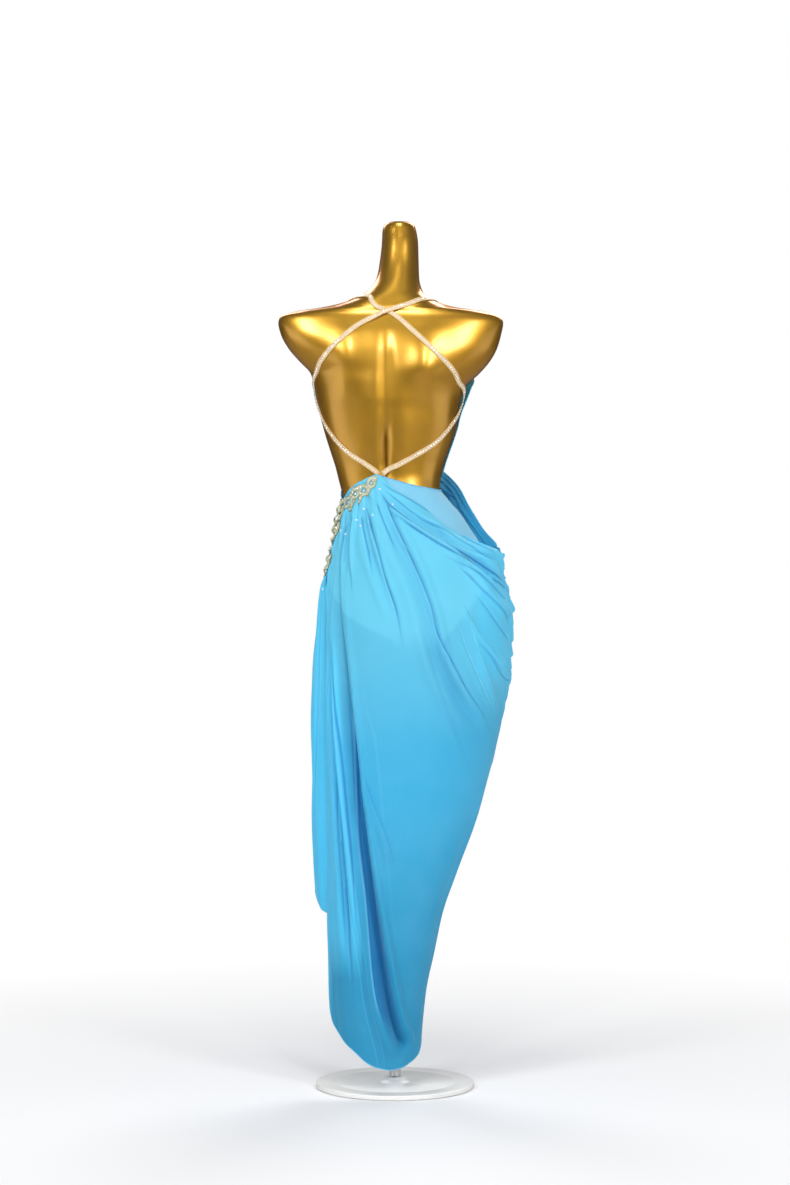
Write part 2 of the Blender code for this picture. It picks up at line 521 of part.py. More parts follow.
def add(name, points, faces, finish):
    """One named closed mesh with its faces pointing out."""
    mesh = bpy.data.meshes.new(name)
    mesh.from_pydata([tuple(map(float, p)) for p in points], [], [tuple(map(int, f)) for f in faces])
    work = bmesh.new()
    work.from_mesh(mesh)
    bmesh.ops.recalc_face_normals(work, faces=work.faces)
    if work.calc_volume(signed=True) < 0:
        bmesh.ops.reverse_faces(work, faces=work.faces)
    bmesh.ops.triangulate(work, faces=work.faces, quad_method="SHORT_EDGE", ngon_method="BEAUTY")
    work.to_mesh(mesh)
    work.free()
    mesh.shade_smooth()
    mesh.set_sharp_from_angle(angle=math.radians(40))
    mesh.materials.append(finish)
    thing = bpy.data.objects.new(name, mesh)
    bpy.context.scene.collection.objects.link(thing)
    return thing


def tree_of(thing):
    return BVHTree.FromPolygons([v.co for v in thing.data.vertices],
                                [tuple(p.vertices) for p in thing.data.polygons])


def lift_clear(points, cells, out, tree, least):
    """Move points outward until every cell's corners, sides and middle clear the faces below."""
    points = points.copy()
    groups = {(i,) for i in range(len(points))} | {tuple(cell) for cell in cells}
    for cell in cells:
        for before, corner, after in zip(cell[-1:] + cell[:-1], cell, cell[1:] + cell[:1]):
            groups |= {tuple(sorted((corner, after))), (corner, corner, before, after)}
    groups = [list(group) for group in sorted(groups)]
    reach = 0.012
    for _ in range(6):
        push = np.zeros(len(points))
        for group in groups:
            spot, way = Vector(points[group].mean(0)), Vector(out[group].mean(0)).normalized()
            hit = tree.ray_cast(spot + way * reach, -way, 2 * reach)[0]
            short = least - (spot - hit).dot(way) if hit else 0
            if short > 0:
                push[group] = np.maximum(push[group], short)
        if not push.any():
            break
        points += out * push[:, None]
    return points


def grid_cells(rows, columns):
    return [[r * columns + c, r * columns + c + 1, (r + 1) * columns + c + 1, (r + 1) * columns + c]
            for r in range(rows - 1) for c in range(columns - 1)]


def grid_out(grid):
    """Unit directions out of a grid of points; its columns run the way that makes them point out."""
    out = np.cross(np.gradient(grid, axis=0), np.gradient(grid, axis=1))
    return out / np.linalg.norm(out, axis=-1, keepdims=True)


def laid(grid, out, tree, least):
    """A grid of points kept clear of the form."""
    rows, columns = grid.shape[:2]
    points = lift_clear(grid.reshape(-1, 3), grid_cells(rows, columns), out.reshape(-1, 3), tree, least)
    return points.reshape(grid.shape)


def wall(name, grid, thick, finish):
    """A sheet of cloth: a grid of points given a thickness, with closed edges."""
    out = grid_out(grid)
    rows, columns = grid.shape[:2]
    points = np.concatenate([(grid + out * thick / 2).reshape(-1, 3), (grid - out * thick / 2).reshape(-1, 3)])
    count = rows * columns
    faces = []
    for cell in grid_cells(rows, columns):
        faces.append(cell)
        faces.append([count + i for i in reversed(cell)])
    rim = [(0, c) for c in range(columns - 1)] + [(r, columns - 1) for r in range(rows - 1)]
    rim += [(rows - 1, c) for c in range(columns - 1, 0, -1)] + [(r, 0) for r in range(rows - 1, 0, -1)]
    ring = [r * columns + c for r, c in rim]
    for a, b in zip(ring, ring[1:] + ring[:1]):
        faces.append([b, a, count + a, count + b])
    return add(name, points, faces, finish)


def spanned(spans, top, hem, columns, rows, crowd=1.0, guides=()):
    """Places of a cloth piece, between its side edges and between its top edge and hem."""
    shares = [0] + [guide.share for guide in guides] + [1]
    u = np.linspace(0, 1, columns + 1)[None, :]
    v = (np.linspace(0, 1, rows + 1) ** crowd)[:, None]
    heights = column(spans, "height")
    around = spans[0].start + (spans[0].end - spans[0].start) * u + 0 * v
    for _ in range(12):
        high = monotone(column(top, "around"), column(top, "height"), around)
        low = monotone(column(hem, "around"), column(hem, "height"), around)
        height = high + (low - high) * v
        lines = [monotone(heights, column(spans, "start"), height)]
        lines += [monotone(*zip(*guide.path), height) for guide in guides]
        lines.append(monotone(heights, column(spans, "end"), height))
        for low_share, high_share, first, last in zip(shares, shares[1:], lines, lines[1:]):
            part = (u - low_share) / (high_share - low_share)
            inside = (part >= 0) & (part <= 1)
            around = np.where(inside, first + (last - first) * part, around)
    return around, height


def make_form(finish):
    turns = np.arange(FORM_COLUMNS) * 360.0 / FORM_COLUMNS
    heights = np.array(column(FORM, "height"))
    points = form_at(turns[None, :] + 0 * heights[:, None], heights[:, None] + 0 * turns[None, :])
    faces = [list(range(FORM_COLUMNS))]
    for r in range(len(heights) - 1):
        for c in range(FORM_COLUMNS):
            a, b = r * FORM_COLUMNS + c, r * FORM_COLUMNS + (c + 1) % FORM_COLUMNS
            faces.append([a, a + FORM_COLUMNS, b + FORM_COLUMNS, b])
    last = (len(heights) - 1) * FORM_COLUMNS
    faces.append([last + c for c in reversed(range(FORM_COLUMNS))])
    return add("form_body", points.reshape(-1, 3), faces, finish)


def turned(name, profile, sides, finish):
    """A round piece about the upright axis, from (radius, height) points, bottom to top."""
    turns = [2 * math.pi * i / sides for i in range(sides)]
    points = [(r * math.cos(t), r * math.sin(t), h) for r, h in profile for t in turns]
    faces = [list(range(sides)), [(len(profile) - 1) * sides + i for i in range(sides)]]
    for r in range(len(profile) - 1):
        for c in range(sides):
            a, b = r * sides + c, r * sides + (c + 1) % sides
            faces.append([a, b, b + sides, a + sides])
    add(name, points, faces, finish)


def make_stand(base_finish, pole_finish):
    form_low = FORM[-1].height
    soft = 0.002
    turned("form_base", [(BASE_RADIUS - soft, 0), (BASE_RADIUS, soft), (BASE_RADIUS, BASE_THICK - soft),
                         (BASE_RADIUS - soft, BASE_THICK), (POLE_RADIUS + 0.012, BASE_THICK),
                         (POLE_RADIUS + 0.008, BASE_THICK + 0.010)], 32, base_finish)
    turned("form_pole", [(POLE_RADIUS, BASE_THICK + 0.0103),
                         (POLE_RADIUS, form_low - COLLAR_TALL - 0.0006)], 20, pole_finish)
    turned("form_collar", [(COLLAR_RADIUS - 0.003, form_low - COLLAR_TALL - 0.0003),
                           (COLLAR_RADIUS, form_low - COLLAR_TALL + 0.003),
                           (COLLAR_RADIUS, form_low - 0.0003)], 20, pole_finish)


def make_briefs(form, finish):
    lift = FIT + CLOTH / 2
    gap = math.degrees(SEAM / 2 / 0.11)
    backs = [Span(1.2, LEFT_SEAM + gap, RIGHT_SEAM - gap), Span(0.8, LEFT_SEAM + gap, RIGHT_SEAM - gap)]
    fronts = [Span(1.2, RIGHT_SEAM + gap, 360 + LEFT_SEAM - gap),
              Span(0.8, RIGHT_SEAM + gap, 360 + LEFT_SEAM - gap)]
    for name, spans, top, leg in (("briefs_back", backs, BRIEFS_TOP_BACK, BRIEFS_LEG_BACK),
                                  ("briefs_front", fronts, BRIEFS_TOP_FRONT, BRIEFS_LEG_FRONT)):
        around, height = spanned(spans, top, leg, 20, 9, 1.3)
        grid = over_form(around, height, lift)
        wall(name, laid(grid, normal_at(form_at, around, height), form, lift + SPARE), CLOTH, finish)


def make_gusset(finish):
    """The strip between the legs, from the back panel's tip under the form to the front's."""
    low = FORM[-1].height
    heights = np.array([GUSSET_TOP, 0.815, 0.805, 0.797, 0.790, 0.784, 0.780, 0.7772])
    lift = FIT + CLOTH / 2
    back = over_form(np.full(8, 91.0), heights, lift)
    front = over_form(np.full(8, 270.0), heights[::-1], lift)
    under = np.array([[GUSSET_ACROSS, y, low - lift] for y in np.linspace(0.030, -0.022, 5)])
    middle = np.vstack([back, under, front])
    pinch = np.abs(np.linspace(-1, 1, len(middle))) ** 2
    width = GUSSET_NARROW + (GUSSET_WIDE - GUSSET_NARROW) * pinch
    grid = np.stack([middle + np.outer(width * side, [1, 0, 0]) for side in (-0.5, 0.5)], 1)
    wall("briefs_gusset", grid, CLOTH, finish)


def make_bodice(form, finish):
    for name, spans in (("bodice_right", BODICE_RIGHT), ("bodice_left", BODICE_LEFT)):
        v = np.linspace(0, 1, 16)[:, None]
        u = np.linspace(0, 1, 10)[None, :]
        height = spans[0].height + (spans[-1].height - spans[0].height) * v + 0 * u
        start = monotone(column(spans, "height"), column(spans, "start"), height)
        end = monotone(column(spans, "height"), column(spans, "end"), height)
        around = start + (end - start) * u
        out = normal_at(form_at, around, height)
        wall(name, laid(bodice_at(around, height), out, form, FIT + CLOTH / 2 + SPARE), CLOTH, finish)


def make_skirt(form, finish):
    panels = (("skirt_back", BACK_SPAN, BACK_TOP, BACK_HEM, skirt_back_at, 42, 26, 1.15, BACK_GUIDES),
              ("skirt_front", FRONT_SPAN, FRONT_TOP, FRONT_HEM, skirt_front_at, 26, 26, 1.0,
               FRONT_GUIDES))
    made = []
    for name, spans, top, hem, surface, columns, rows, crowd, guides in panels:
        around, height = spanned(spans, top, hem, columns, rows, crowd, guides)
        out = normal_at(form_at, around, height)
        made.append(wall(name, laid(surface(around, height), out, form, HUG), CLOTH, finish))
    return made


def make_straps(form, finish):
    for name, rows in STRAPS.items():
        path = spline(rows, STRAP_STEPS[name])
        around, height, lift = path[:, 0], path[:, 1], np.maximum(path[:, 2], 0)
        middle = form_at(around, height)
        ahead = np.gradient(middle, axis=0)
        ahead /= np.linalg.norm(ahead, axis=1, keepdims=True)
        side = np.cross(normal_at(form_at, around, height), ahead)
        turn, rise = 0.5, 0.001
        along_turn = (form_at(around + turn, height) - form_at(around - turn, height)) / (2 * turn)
        along_rise = (form_at(around, height + rise) - form_at(around, height - rise)) / (2 * rise)
        tt, rr = (along_turn ** 2).sum(1), (along_rise ** 2).sum(1)
        tr = (along_turn * along_rise).sum(1)
        st, sr = (side * along_turn).sum(1), (side * along_rise).sum(1)
        under = tt * rr - tr ** 2
        step_turn, step_rise = (st * rr - sr * tr) / under, (sr * tt - st * tr) / under
        lines = []
        for shift in (-STRAP_WIDTH / 2, STRAP_WIDTH / 2):
            lines.append(over_form(around + step_turn * shift, height + step_rise * shift,
                                   LAY + STRAP_THICK / 2 + lift))
        grid = np.stack(lines, 1)
        wall(name, laid(grid, grid_out(grid), form, LAY + STRAP_THICK / 2), STRAP_THICK, finish)


def curl_line(curl):
    t = np.linspace(0, 1, 22)
    angle = np.radians(curl.start + curl.sweep * t)
    radius = curl.radius + (curl.end_radius - curl.radius) * t
    return np.stack([curl.along + radius * np.cos(angle), curl.down + radius * np.sin(angle)], -1)


def motif_field(points, curls, leaves):
    """Below 0 inside the embroidered shape."""
    field = np.full(points.shape[:-1], 1.0)
    for curl in curls:
        gap, _ = nearest_on(points, curl_line(curl))
        field = np.minimum(field, gap - curl.width / 2)
    for leaf in leaves:
        turn = math.radians(leaf.turn)
        east = points[..., 0] - leaf.along
        south = points[..., 1] - leaf.down
        long = (east * math.cos(turn) + south * math.sin(turn)) / (leaf.long / 2)
        wide = (south * math.cos(turn) - east * math.sin(turn)) / (leaf.wide / 2)
        field = np.minimum(field, (np.hypot(long, wide) - 1) * leaf.wide / 2)
    return field


def cut_shape(field, corner, pitch):
    """Faces of the part of a grid where the field is below 0, in its largest whole piece."""
    slots, points, faces = {}, [], []
    rows, columns = field.shape

    def place(key, spot):
        if key not in slots:
            slots[key] = len(points)
            points.append((corner[0] + spot[1] * pitch, corner[1] + spot[0] * pitch))
        return slots[key]

    for r in range(rows - 1):
        for c in range(columns - 1):
            around = [(r, c), (r, c + 1), (r + 1, c + 1), (r + 1, c)]
            face = []
            for a, b in zip(around, around[1:] + around[:1]):
                fa, fb = field[a], field[b]
                if fa < 0:
                    face.append(place(a, a))
                if (fa < 0) != (fb < 0):
                    first, second = min(a, b), max(a, b)
                    ff, fs = field[first], field[second]
                    t = min(max(ff / (ff - fs), 0.2), 0.8)
                    spot = [first[i] + (second[i] - first[i]) * t for i in (0, 1)]
                    face.append(place((first, second), spot))
            if len(face) > 2:
                faces.append(face)
    home = list(range(len(points)))

    def root(i):
        while home[i] != i:
            i = home[i]
        return i

    for face in faces:
        for i in face[1:]:
            home[root(i)] = root(face[0])
    roots = [root(f[0]) for f in faces]
    main = max(set(roots), key=roots.count)
    kept = [f for f, r in zip(faces, roots) if r == main]
    used = sorted({i for f in kept for i in f})
    renumber = {old: new for new, old in enumerate(used)}
    return np.array([points[i] for i in used]), [[renumber[i] for i in f] for f in kept]


def hip_at(around, height):
    back = skirt_back_at(np.maximum(around, LEFT_SEAM), height)
    front = skirt_front_at(np.minimum(around, LEFT_SEAM) + 360, height)
    return np.where((around > LEFT_SEAM)[..., None], back, front)


def hip_edge(around):
    back = monotone(column(BACK_TOP, "around"), column(BACK_TOP, "height"), around)
    front = monotone(column(FRONT_TOP, "around"), column(FRONT_TOP, "height"), around + 360)
    return np.where(around > LEFT_SEAM, back, front)


def hip_place(along, down):
    """Turn a place in the flat applique into a place on the hip."""
    turns = np.linspace(APPLIQUE_START, APPLIQUE_END, 60)
    edge = form_at(turns, hip_edge(turns))
    reach = np.concatenate([[0], np.cumsum(np.linalg.norm(np.diff(edge, axis=0), axis=1))])
    around = np.interp(along, reach, turns)
    return around, hip_edge(around) - down


def laid_on(trees, places, out):
    """The cloth's outer face below each place, seen along the outward direction."""
    reach = 0.03
    found = []
    for place, way in zip(places, out):
        way = Vector(way)
        start = Vector(place) + way * reach
        hits = [tree.ray_cast(start, -way, 2 * reach)[3] for tree in trees]
        hits = [h for h in hits if h is not None]
        found.append(start - way * min(hits) if hits else Vector(place))
    return np.array([tuple(spot) for spot in found])


def make_applique(cloth, finish):
    trees = [tree_of(panel) for panel in cloth]
    for name, curls, leaves in (("applique_hip", HIP_CURLS, HIP_LEAVES),
                                ("applique_side", SIDE_CURLS, SIDE_LEAVES)):
        spots = np.array([(c.along, c.down) for c in curls] + [(f.along, f.down) for f in leaves])
        low, high = spots.min(0) - 0.018, spots.max(0) + 0.018
        low[1] = max(low[1], 0.0005)
        counts = np.ceil((high - low) / APPLIQUE_PITCH).astype(int) + 1
        across = low[0] + np.arange(counts[0]) * APPLIQUE_PITCH
        down = low[1] + np.arange(counts[1]) * APPLIQUE_PITCH
        grid = np.stack(np.meshgrid(across, down), -1)
        flat, faces = cut_shape(motif_field(grid, curls, leaves), low, APPLIQUE_PITCH)
        around, height = hip_place(flat[:, 0], flat[:, 1])
        out = normal_at(form_at, around, height)
        inner = laid_on(trees, hip_at(around, height), out) + out * LAY
        for tree in trees:
            inner = lift_clear(inner, faces, out, tree, LAY + SPARE)
        outer = inner + out * APPLIQUE_THICK
        count = len(flat)
        edges = {}
        for face in faces:
            for a, b in zip(face, face[1:] + face[:1]):
                edges.setdefault((min(a, b), max(a, b)), []).append((a, b))
        walls = [pair[0] for pair in edges.values() if len(pair) == 1]
        solid = [list(f) for f in faces] + [[count + i for i in reversed(f)] for f in faces]
        solid += [[b, a, count + a, count + b] for a, b in walls]
        add(name, np.vstack([outer, inner]), solid, finish)


def main():
    for thing in list(bpy.data.objects):
        bpy.data.objects.remove(thing, do_unlink=True)
    gold = material("gold_lacquer", (0.60, 0.38, 0.07), 0.75, 0.28)
    blue = material("blue_mesh_cloth", (0.10, 0.50, 0.80), 0.0, 0.80)
    nude = material("strap_cloth", (0.75, 0.55, 0.38), 0.0, 0.55)
    thread = material("pale_gold_thread", (0.50, 0.50, 0.33), 0.3, 0.5)
    white = material("white_enamel", (0.85, 0.85, 0.85), 0.0, 0.4)
    steel = material("brushed_steel", (0.62, 0.62, 0.63), 1.0, 0.3)
    form = tree_of(make_form(gold))
    make_stand(white, steel)
    make_briefs(form, blue)
    make_gusset(blue)
    make_bodice(form, blue)
    skirt = make_skirt(form, blue)
    make_straps(form, nude)
    make_applique(skirt, thread)


main()
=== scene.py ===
"""The looks of a backless ballroom dance dress on its limbless gold dress form.

The front of the dress faces -Y and the wearer's left is +X. Heights are above the floor.
A place on the form or on the cloth is given by two numbers: `around`, in degrees, which is 0 at the
wearer's left side, 90 at the middle of the back, 180 at the right side and 270 at the middle of the
front, and `height`, in metres. Each cloth piece is a thin closed shell on the form of its solid,
finer, with its small folds, gathers, rolled edges and sewing.
"""
import math
from collections import namedtuple

import bpy
import numpy as np
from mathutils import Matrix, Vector
from mathutils.bvhtree import BVHTree


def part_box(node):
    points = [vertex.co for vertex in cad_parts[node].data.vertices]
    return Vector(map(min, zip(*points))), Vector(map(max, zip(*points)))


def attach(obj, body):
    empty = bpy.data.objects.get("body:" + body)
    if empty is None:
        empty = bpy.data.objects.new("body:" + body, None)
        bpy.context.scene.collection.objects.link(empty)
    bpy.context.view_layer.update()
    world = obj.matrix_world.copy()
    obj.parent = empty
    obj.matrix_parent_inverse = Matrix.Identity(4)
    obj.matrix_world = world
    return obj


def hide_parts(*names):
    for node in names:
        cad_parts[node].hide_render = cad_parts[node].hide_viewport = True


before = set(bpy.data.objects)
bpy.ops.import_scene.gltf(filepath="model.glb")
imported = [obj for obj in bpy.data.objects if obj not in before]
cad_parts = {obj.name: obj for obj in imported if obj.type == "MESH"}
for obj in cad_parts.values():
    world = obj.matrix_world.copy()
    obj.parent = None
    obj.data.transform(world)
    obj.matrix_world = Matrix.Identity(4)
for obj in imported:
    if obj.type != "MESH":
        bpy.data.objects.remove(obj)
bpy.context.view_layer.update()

CLOTH = 0.0016          # wall of the cloth in the solids, which these shells stay within
MESH_CLOTH = 0.0006     # thickness of the sheer mesh here
LINING = 0.0008
LAY = 0.0006            # air between the form and a strap, and over a wall that carries trim
FIT = 0.0011            # air between the form and the cloth that is cut to it
SEAM = 0.0005           # air between two pieces sewn edge to edge
BRIEFS_AIR = 0.0013     # air between the briefs and the skirt
HUG = FIT + CLOTH + BRIEFS_AIR + CLOTH / 2      # middle of the skirt's wall where it hugs the briefs
HIP_RADIUS = 0.11       # about, to turn a gap at a side seam into degrees
STRAP_WIDTH = 0.0100
STRAP_THICK = 0.0014
APPLIQUE_THICK = 0.0009
LEFT_SEAM = 14.0        # skirt side seam on the wearer's left, open below SLIT_TOP
RIGHT_SEAM = 186.0      # gathered seam on the right hip, open below RIGHT_FREE
SLIT_TOP = 0.972
RIGHT_FREE = 0.790

Section = namedtuple("Section", "height left right middle back front")
Relief = namedtuple("Relief", "facing across height wide tall rise")
Edge = namedtuple("Edge", "around height")
Span = namedtuple("Span", "height start end")
Guide = namedtuple("Guide", "share path")
# `lean` says which side of the line is steep (0: neither) and `dark` how far painted shade deepens its colour
# in the trough.
Crease = namedtuple("Crease", "facing width depth crest fade_in fade_out lean dark path")
Band = namedtuple("Band", "around height lift")
Curl = namedtuple("Curl", "along down radius end_radius start sweep width")
Leaf = namedtuple("Leaf", "along down long wide turn")


def table(kind, rows):
    """Rows of plain values as rows with named columns."""
    return [kind(*row) for row in rows]


# ---------------------------------------------------------------- the dress form
FORM = table(Section, [
    (1.640, 0.012, -0.028, -0.004, 0.022, 0.022),
    (1.636, 0.020, -0.036, -0.004, 0.031, 0.031),
    (1.622, 0.024, -0.041, -0.004, 0.036, 0.036),
    (1.601, 0.025, -0.044, -0.002, 0.040, 0.040),
    (1.565, 0.029, -0.045, 0.002, 0.043, 0.042),
    (1.533, 0.035, -0.046, 0.008, 0.047, 0.046),
    (1.506, 0.055, -0.053, 0.013, 0.051, 0.050),
    (1.493, 0.078, -0.068, 0.015, 0.053, 0.053),
    (1.484, 0.104, -0.087, 0.016, 0.054, 0.054),
    (1.476, 0.139, -0.117, 0.017, 0.055, 0.056),
    (1.468, 0.190, -0.171, 0.018, 0.057, 0.060),
    (1.459, 0.217, -0.198, 0.018, 0.061, 0.065),
    (1.447, 0.221, -0.205, 0.017, 0.066, 0.072),
    (1.425, 0.216, -0.201, 0.015, 0.074, 0.080),
    (1.398, 0.201, -0.193, 0.012, 0.080, 0.086),
    (1.375, 0.181, -0.180, 0.009, 0.083, 0.091),
    (1.352, 0.160, -0.160, 0.006, 0.085, 0.096),
    (1.330, 0.154, -0.137, 0.003, 0.086, 0.099),
    (1.303, 0.149, -0.125, 0.001, 0.085, 0.100),
    (1.280, 0.144, -0.121, 0.000, 0.082, 0.098),
    (1.256, 0.138, -0.118, 0.000, 0.078, 0.094),
    (1.228, 0.130, -0.110, 0.000, 0.073, 0.089),
    (1.200, 0.121, -0.100, 0.000, 0.069, 0.084),
    (1.175, 0.113, -0.092, 0.000, 0.065, 0.081),
    (1.151, 0.107, -0.087, 0.000, 0.063, 0.079),
    (1.132, 0.102, -0.086, 0.000, 0.063, 0.079),
    (1.113, 0.096, -0.099, 0.000, 0.065, 0.080),
    (1.085, 0.098, -0.123, 0.001, 0.070, 0.083),
    (1.056, 0.104, -0.142, 0.001, 0.077, 0.086),
    (1.028, 0.110, -0.160, 0.002, 0.086, 0.089),
    (0.995, 0.114, -0.173, 0.003, 0.096, 0.092),
    (0.961, 0.118, -0.184, 0.004, 0.104, 0.093),
    (0.930, 0.119, -0.190, 0.005, 0.109, 0.093),
    (0.904, 0.120, -0.193, 0.006, 0.111, 0.092),
    (0.875, 0.120, -0.193, 0.006, 0.110, 0.090),
    (0.847, 0.119, -0.192, 0.006, 0.108, 0.087),
    (0.826, 0.118, -0.190, 0.006, 0.104, 0.084),
    (0.805, 0.115, -0.185, 0.006, 0.096, 0.078),
    (0.790, 0.107, -0.176, 0.006, 0.084, 0.068),
    (0.780, 0.090, -0.156, 0.006, 0.064, 0.052),
    (0.777, 0.068, -0.130, 0.006, 0.045, 0.037),
])
FORM_RELIEF = [
    Relief(+1, 0.017, 1.345, 0.013, 0.080, -0.004),     # spine
    Relief(+1, 0.017, 1.215, 0.011, 0.060, -0.007),
    Relief(+1, 0.092, 1.358, 0.031, 0.058, 0.009),      # shoulder blades
    Relief(+1, -0.058, 1.358, 0.031, 0.058, 0.009),
    Relief(+1, 0.050, 1.235, 0.024, 0.080, 0.004),      # long back muscles
    Relief(+1, -0.016, 1.235, 0.024, 0.080, 0.004),
    Relief(-1, 0.084, 1.300, 0.044, 0.046, 0.032),      # bust
    Relief(-1, -0.062, 1.300, 0.044, 0.046, 0.032),
]

# ---------------------------------------------------------------- the briefs
BRIEFS_TOP_BACK = table(Edge, [
    (14, 1.109), (45, 1.133), (77, 1.156), (97, 1.147), (126, 1.136), (166, 1.131), (186, 1.131),
])
BRIEFS_LEG_BACK = table(Edge, [
    (14, 0.978), (38, 0.908), (62, 0.870), (76, 0.850), (85, 0.826), (97, 0.826), (106, 0.850),
    (124, 0.910), (142, 0.952), (186, 0.990),
])
BRIEFS_TOP_FRONT = table(Edge, [
    (186, 1.131), (215, 1.150), (250, 1.162), (290, 1.162), (330, 1.140), (360, 1.112), (374, 1.109),
])
BRIEFS_LEG_FRONT = table(Edge, [
    (186, 0.990), (215, 0.945), (240, 0.895), (255, 0.850), (264, 0.826), (276, 0.826), (285, 0.850),
    (302, 0.895), (330, 0.945), (374, 0.978),
])
GUSSET_TOP = 0.8255
GUSSET_WIDE = 0.034
GUSSET_NARROW = 0.026
GUSSET_ACROSS = -0.037

# ---------------------------------------------------------------- the halter bodice
BODICE_RIGHT = table(Span, [
    (1.457, 250.0, 243.0), (1.430, 252.0, 236.0), (1.400, 254.0, 226.0), (1.375, 256.5, 216.0),
    (1.352, 260.0, 203.0), (1.340, 262.5, 188.0), (1.330, 265.0, 180.4), (1.310, 269.0, 179.5),
    (1.298, 269.85, 179.5), (1.256, 269.85, 179.0), (1.200, 269.85, 178.0), (1.163, 269.85, 178.0),
])
BODICE_LEFT = table(Span, [
    (1.457, 290.0, 297.0), (1.430, 288.0, 304.0), (1.400, 286.0, 314.0), (1.375, 283.5, 324.0),
    (1.352, 280.0, 339.0), (1.340, 277.5, 352.0), (1.330, 275.0, 360.2), (1.310, 271.0, 361.6),
    (1.298, 270.15, 358.6), (1.280, 270.15, 350.0), (1.256, 270.15, 338.0), (1.225, 270.15, 322.0),
    (1.200, 270.15, 308.0), (1.180, 270.15, 299.0), (1.163, 270.15, 293.0),
])
LOOSE_SIDE = Edge(184.0, 1.312)         # the right cup stands off the form here
LOOSE_RISE = 0.010
LOOSE_AROUND = 17.0
LOOSE_TALL = 0.034

# ---------------------------------------------------------------- the skirt
SKIRT_BACK = table(Section, [
    (1.170, 0.114, -0.095, 0.000, 0.070, 0.085),
    (1.119, 0.103, -0.099, 0.000, 0.070, 0.088),
    (1.085, 0.108, -0.129, 0.001, 0.080, 0.092),
    (1.056, 0.114, -0.165, 0.002, 0.092, 0.096),
    (1.028, 0.120, -0.190, 0.003, 0.104, 0.100),
    (1.007, 0.123, -0.203, 0.004, 0.112, 0.102),
    (0.980, 0.129, -0.202, 0.004, 0.120, 0.104),
    (0.942, 0.132, -0.211, 0.005, 0.129, 0.106),
    (0.898, 0.133, -0.221, 0.006, 0.134, 0.108),
    (0.836, 0.133, -0.217, 0.007, 0.133, 0.106),
    (0.801, 0.133, -0.217, 0.007, 0.131, 0.104),
    (0.733, 0.133, -0.209, 0.008, 0.125, 0.098),
    (0.657, 0.131, -0.194, 0.009, 0.118, 0.090),
    (0.572, 0.129, -0.174, 0.011, 0.110, 0.080),
    (0.486, 0.128, -0.146, 0.013, 0.102, 0.068),
    (0.410, 0.127, -0.116, 0.015, 0.094, 0.058),
    (0.330, 0.127, -0.089, 0.017, 0.086, 0.050),
    (0.250, 0.124, -0.072, 0.019, 0.080, 0.045),
    (0.182, 0.123, -0.059, 0.021, 0.074, 0.042),
    (0.116, 0.118, -0.052, 0.023, 0.069, 0.040),
    (0.068, 0.111, -0.049, 0.024, 0.065, 0.038),
    (0.026, 0.104, -0.046, 0.025, 0.062, 0.036),
])
BACK_TOP = table(Edge, [
    (14, 1.113), (45, 1.137), (66, 1.153), (77, 1.159), (84, 1.148), (97.6, 1.122), (113.6, 1.098),
    (122, 1.071), (130.5, 1.047), (145, 1.028), (174, 1.014), (186, 1.006),
])
BACK_HEM = table(Edge, [
    (4, 0.152), (13, 0.125), (30, 0.103), (57, 0.079), (73, 0.061), (89, 0.049), (104, 0.045),
    (120, 0.048), (141, 0.057), (164, 0.070), (180, 0.090), (205, 0.136),
])
BACK_SPAN = table(Span, [
    (1.160, 14.0, 186.0), (0.972, 14.0, 186.0), (0.900, 15.5, 186.0), (0.790, 15.0, 186.0),
    (0.733, 14.0, 193.0), (0.650, 12.0, 203.0), (0.572, 9.0, 205.0), (0.410, 5.0, 205.0),
    (0.030, 5.0, 205.0),
])
